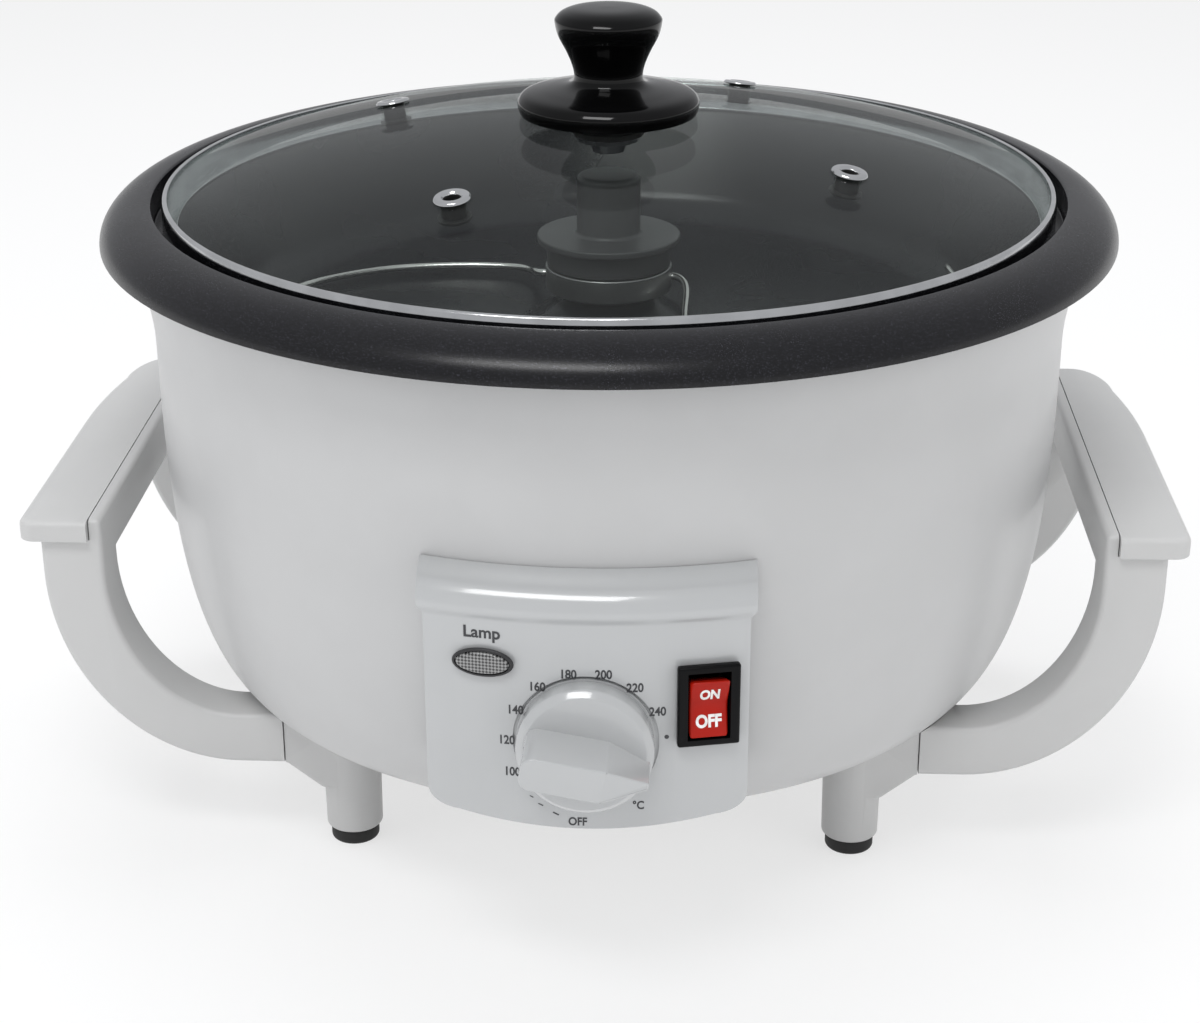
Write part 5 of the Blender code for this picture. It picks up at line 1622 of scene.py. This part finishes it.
    def build_print(self) -> None:
        """Prints the scale, its ticks and the lamp's label."""
        marks = []
        for mark in ScaleMark:
            words, angle, height = mark.value
            place, turn = self.spot(angle)
            label = Bench.lettering(f"scale_{mark.name}", words, height, place, turn, 0.035, 0.84)
            marks.append(label)
        for number, (angle, size) in enumerate(((204, 1.0), (217, 0.8), (226, 0.62), (233, 0.45))):
            place, turn = self.spot(angle, 0.0004)
            dash = [
                (across * size, up * size)
                for across, up in (
                    (-0.0008, 0.0002), (0.0006, -0.0005), (0.0008, -0.0002), (-0.0006, 0.0005),
                )
            ]
            marks.append(Bench.slab(f"tick_{number + 1}", dash, 0.00004, tuple(place), turn))
        place, turn = self.spot(82)
        marks.append(Bench.drum("end_dot", 0.00055, 0.00004, tuple(place), turn, 20))
        turn = math.asin(-0.0243 / PANEL_R)
        place = on_panel(turn, 0.00003, 0.1002)
        marks.append(
            Bench.lettering("lamp_label", "Lamp", 0.0030, place, (QUARTER, 0, turn), 0.03)
        )
        for mark in marks:
            Bench.finish(mark, Body.BASE, Finishes.PRINT)


@dataclass
class Dial:
    """The temperature dial: a round base with a grip bar.

    Attributes:
        radius: Radius of the base.
        height: Thickness of the base.
        bar: Length, thickness and height of the grip bar.
        taper: Where the bar starts to narrow, where it ends, and half its width there.
        root: How deep it stands in the base.
        tilt: Its turn at rest in degrees.
        slope: Fall of the bar's front towards its tip, per length.
        axis_z: Height of its axis.
    """

    radius: float = 0.0164
    height: float = 0.0062
    bar: Place = (0.0301, 0.0098, 0.0138)
    taper: Place = (0.0052, 0.0156, 0.001)
    root: float = 0.0018
    tilt: float = 10.5
    slope: float = 0.42
    axis_z: float = 0.0733

    def build(self) -> None:
        """Builds and dresses the dial."""
        place = (0, AXIS_Y - PANEL_R - GAP, self.axis_z)
        turn = (QUARTER, math.radians(self.tilt), 0)
        corners = [
            (0, self.height, 0.0), (self.radius - 0.0016, self.height, 0.0008),
            (self.radius, self.height - 0.0016, 0.0010), (self.radius, 0, 0.0003),
            (0.0090, 0, 0.0), (0.0090, 0.0032, 0.0), (0, 0.0032, 0.0),
        ]
        profile = filleted(corners, closed=False)
        dial = Bench.turned("dial", profile, 96, closed=False, place=(0, 0, 0))
        half_t, (kink, tip, half_tip) = self.bar[1] / 2, self.taper
        end = tip - self.bar[0]
        plan = filleted([
            (end, -half_t, 0.003), (kink, -half_t, 0.002), (tip, -half_tip, 0.0006),
            (tip, half_tip, 0.0006), (kink, half_t, 0.002), (end, half_t, 0.003),
        ], closed=True)
        tall = self.bar[2] + self.root
        middle = (0, 0, self.height - self.root + tall / 2)
        grip = Bench.slab("grip_bar", plan, tall, middle, (0, 0, 0))
        for corner in grip.data.vertices:
            if corner.co.z > self.height + 0.005:
                corner.co.y *= 0.86
                corner.co.z -= max(corner.co.x - kink, 0) * self.slope
        Bench.rounded(grip, 0.0012, 4, 40)
        Bench.carve(dial, grip, "UNION")
        Bench.carve(dial, Bench.drum("socket_tool", 0.0031, 0.021, (0, 0, 0)))
        dial.rotation_euler = turn
        dial.location = place
        Bench.settle(dial)
        Bench.smooth(dial, 30)
        Bench.finish(dial, Body.DIAL, Finishes.PANEL, ["thermostat_knob"])


@dataclass
class Switch:
    """The rocker switch: its bezel and its lettered rocker.

    Attributes:
        across: Its x on the panel.
        height: Its height.
        bezel: Width, thickness and height of the bezel.
        rocker: Width and height of the rocker.
        tilt: The rocker's turn at rest in degrees.
    """

    across: float = 0.0286
    height: float = 0.083
    bezel: Place = (0.015, 0.0022, 0.021)
    rocker: Point = (0.0093, 0.016)
    tilt: float = 7.0

    def build_bezel(self) -> None:
        """Builds the bezel with its window."""
        turn = math.asin(self.across / PANEL_R)
        place = tuple(on_panel(turn, GAP + self.bezel[1] / 2, self.height))
        bezel = Bench.block("bezel", self.bezel, place, (0, 0, turn))
        Bench.rounded(bezel, 0.0006, 3)
        window = Bench.block(
            "window_tool", (self.rocker[0] + 0.001, 0.015, 0.0176),
            tuple(on_panel(turn, 0, self.height)), (0, 0, turn),
        )
        Bench.carve(bezel, window)
        Bench.smooth(bezel)
        Bench.finish(bezel, Body.BASE, Finishes.BEZEL, ["rocker_bezel"])

    def build_rocker(self) -> None:
        """Builds the rocker with the words on its two halves."""
        turn = math.asin(self.across / PANEL_R)
        half = self.rocker[1] / 2
        out, dip, back = 0.0043, 0.0022, 0.0035
        outline = filleted(
            [
                (out, half, 0.0), (-back, half * 0.55, 0.0), (-back, -half * 0.55, 0.0),
                (out, -half, 0.0), (dip, 0, 0.006),
            ],
            closed=True, steps=6,
        )
        euler = (QUARTER, math.radians(self.tilt), turn - QUARTER)
        centre = on_panel(turn, -0.001, self.height)
        rocker = Bench.slab("rocker", outline, self.rocker[0], tuple(centre), euler)
        Bench.rounded(rocker, 0.0006, 3, 40)
        Bench.smooth(rocker)
        Bench.finish(rocker, Body.ROCKER, Finishes.ROCKER, ["switch_rocker"])
        lay = Matrix.Rotation(euler[2], 3, "Z") @ Matrix.Rotation(euler[1], 3, "Y")
        lay = lay @ Matrix.Rotation(euler[0], 3, "X")
        for words, level, narrow in (("ON", 1, 0.70), ("OFF", -1, 0.82)):
            rise = Vector((out - dip, half * level, 0)).normalized() * level
            face = Vector((rise.y, -rise.x, 0))
            middle = Vector(((out + dip) / 2, half * level * 0.47, 0)) + face * 0.00001
            up, normal = lay @ rise, lay @ face
            right = up.cross(normal)
            frame_turn = Matrix((right, up, normal)).transposed().to_euler()
            place = centre + lay @ middle
            label = Bench.lettering(
                f"rocker_{words}", words, 0.0031, place, tuple(frame_turn), 0.06, narrow
            )
            Bench.finish(label, Body.ROCKER, Finishes.WHITE)

    def build(self) -> None:
        """Builds and dresses the switch."""
        self.build_bezel()
        self.build_rocker()


@dataclass
class Lamp:
    """The oval pilot lamp: its rim and its lens.

    Attributes:
        across: Its x on the panel.
        height: Its height.
        rim: Width and height of the rim.
        lens: Width and height of the lens.
    """

    across: float = -0.024
    height: float = 0.0933
    rim: Point = (0.015, 0.0074)
    lens: Point = (0.0130, 0.0055)

    def build(self) -> None:
        """Builds and dresses the lamp."""
        turn = math.asin(self.across / PANEL_R)
        euler = (QUARTER, 0, turn)
        ring = arc((0, 0), (self.rim[0] / 2, self.rim[1] / 2), 0, 360, 64)[:-1]
        place = tuple(on_panel(turn, 0.00085, self.height))
        rim = Bench.slab("lamp_rim_ring", ring, 0.0011, place, euler)
        Bench.rounded(rim, 0.0005, 3)
        hole = (self.lens[0] / 2 + GAP, self.lens[1] / 2 + GAP)
        inner = arc((0, 0), hole, 0, 360, 64)[:-1]
        place = tuple(on_panel(turn, 0, self.height))
        Bench.carve(rim, Bench.slab("rim_tool", inner, 0.01, place, euler))
        Bench.smooth(rim)
        Bench.finish(rim, Body.BASE, Finishes.LAMP_RIM, ["lamp_bezel"])
        oval = arc((0, 0), (self.lens[0] / 2, self.lens[1] / 2), 0, 360, 64)[:-1]
        place = tuple(on_panel(turn, -0.00085, self.height))
        lens = Bench.slab("lamp_lens_cap", oval, 0.0055, place, euler)
        Bench.rounded(lens, 0.0007, 4)
        Bench.smooth(lens)
        Bench.finish(lens, Body.BASE, Finishes.LENS, ["lamp_lens"])


@dataclass
class Works:
    """The hidden pieces, which keep their CAD meshes.

    Attributes:
        dressing: The CAD nodes that each finish dresses.
    """

    dressing: dict[Finish, tuple[str, ...]] = field(default_factory=lambda: {
        Finishes.SHEET: (
            "base_plate", "base_screw_1", "base_screw_2", "base_screw_3", "base_screw_4",
            "heater_post_1", "heater_post_2", "heater_post_3", "heat_shield", "sensor_clip",
            "thermal_fuse", "motor_bracket", "gearbox", "thermostat_body", "thermostat_shaft",
            "drive_shaft",
        ),
        Finishes.HEATER: ("heating_element", "motor_can"),
        Finishes.BRASS: ("heat_sensor", "thermostat_nut", "shaft_bush"),
        Finishes.CERAMIC: ("terminal_block",),
        Finishes.BEZEL: ("switch_body",),
        Finishes.LENS: ("lamp_body",),
        Finishes.RUBBER: ("cord_gland", "lid_knob_seal"),
        Finishes.BAND: ("lid_knob_screw", "lid_knob_washer"),
    })

    def build(self) -> None:
        """Dresses the CAD pieces that stay."""
        for finish, names in self.dressing.items():
            for name in names:
                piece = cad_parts[name]
                for place in piece.material_slots:
                    place.material = finish.material()
                if not piece.material_slots:
                    piece.data.materials.append(finish.material())
                LOG.info("%s: CAD mesh, %s", name, finish.slot)


@dataclass
class Studio:
    """Floor, lights, surroundings and camera of the photograph.

    Attributes:
        camera_place: Where the camera stands.
        heading: Its turn about Z in degrees.
        pitch: How far it looks down in degrees.
        roll: Its roll in degrees.
        lens: Focal length in millimetres on a 36 mm wide sensor.
    """

    camera_place: Place = (0.0264, -0.62216, 0.34642)
    heading: float = 2.63
    pitch: float = 23.22
    roll: float = -0.17
    lens: float = 71.72

    def build_camera(self) -> None:
        """Places the camera."""
        Bench.clear()
        bpy.ops.object.camera_add(location=self.camera_place)
        camera = bpy.context.object
        turn = math.radians(self.heading)
        down = math.radians(self.pitch)
        level = math.cos(down)
        ahead = Vector((-math.sin(turn) * level, math.cos(turn) * level, -math.sin(down)))
        look = ahead.to_track_quat("-Z", "Y").to_matrix().to_4x4()
        roll = Matrix.Rotation(math.radians(self.roll), 4, "Z")
        camera.matrix_world = Matrix.Translation(Vector(self.camera_place)) @ look @ roll
        camera.data.sensor_width = 36
        camera.data.lens = self.lens
        camera.data.clip_start = 0.01
        camera.data.clip_end = 20
        bpy.context.scene.camera = camera

    def build_floor(self) -> None:
        """Lays the pale floor."""
        Bench.clear()
        bpy.ops.mesh.primitive_plane_add(size=40, location=(0, 0, 0))
        floor = bpy.context.object
        floor.name = "floor"
        nodes = Nodes("floor_white")
        tone = nodes.noise(1.5, 2)
        base = nodes.blend(tone, (0.90, 0.90, 0.90), (0.93, 0.93, 0.93))
        lit = nodes.surface(Base_Color=base, Roughness=0.9, Specular_IOR_Level=0.0)
        white = nodes.make("ShaderNodeEmission", {}, {"Color": (1, 1, 1, 1), "Strength": 1.0})
        path = nodes.tree.nodes.new("ShaderNodeLightPath")
        camera, glossy, passed = (
            Expr(nodes, path.outputs[f"Is {kind} Ray"])
            for kind in ("Camera", "Glossy", "Transmission")
        )
        seen = camera + glossy + passed
        floor.data.materials.append(
            nodes.done(nodes.make("ShaderNodeMixShader", {}, {0: seen * 0.65, 1: lit, 2: white}))
        )

    def add_light(
        self, name: str, place: Place, aim: Place, size: Point, power: float, colour: Colour
    ) -> None:
        """Adds one soft light.

        Args:
            name: Its name.
            place: Where it stands.
            aim: The point that it faces.
            size: Its width and height.
            power: Its power in watts.
            colour: Its colour.
        """
        Bench.clear()
        bpy.ops.object.light_add(type="AREA", location=place)
        light = bpy.context.object
        light.name = name
        light.data.shape = "RECTANGLE"
        light.data.size, light.data.size_y = size
        light.data.energy = power
        light.data.color = colour
        light.visible_glossy = name == "key"
        light.rotation_euler = (Vector(aim) - Vector(place)).to_track_quat("-Z", "Y").to_euler()

    def build_world(self) -> None:
        """Makes the even, soft surroundings."""
        world = bpy.data.worlds.new("surroundings")
        bpy.context.scene.world = world
        world.use_nodes = True
        tree = world.node_tree
        tree.nodes.clear()
        output = tree.nodes.new("ShaderNodeOutputWorld")
        soft = tree.nodes.new("ShaderNodeBackground")
        soft.inputs["Color"].default_value = (0.96, 0.97, 1.0, 1)
        soft.inputs["Strength"].default_value = 0.50
        tree.links.new(soft.outputs[0], output.inputs["Surface"])

    def build(self) -> None:
        """Builds the studio."""
        self.build_camera()
        self.build_floor()
        self.build_world()
        middle = (0, AXIS_Y, 0.1)
        self.add_light("key", (-0.22, -0.75, 1.30), middle, (0.7, 0.35), 6.6, (1, 1, 1))
        self.add_light("fill_left", (-1.0, -0.55, 0.5), middle, (0.8, 0.8), 2.4, (1, 1, 1))
        self.add_light("fill_right", (0.95, -0.6, 0.5), middle, (0.8, 0.8), 2.6, (1, 0.99, 0.97))
        self.add_light("top", (0.0, 0.35, 1.35), middle, (1.2, 0.6), 9, (0.98, 0.99, 1))
        scene = bpy.context.scene
        scene.view_settings.view_transform = "Standard"


def main() -> None:
    """Builds the sub-assemblies in order, then the studio."""
    housing = Housing()
    housing.build()
    Pan().build()
    Lid().build()
    Stirrer().build()
    bowl = housing.tool()
    for side in Side:
        Handle(side).build(bowl)
        for end in End:
            Leg(side, end).build(bowl)
    box = ControlBox()
    box.build_box(bowl)
    box.build_print()
    bpy.data.objects.remove(bowl, do_unlink=True)
    Dial().build()
    Switch().build()
    Lamp().build()
    Works().build()
    Studio().build()


if __name__ == "__main__":
    main()
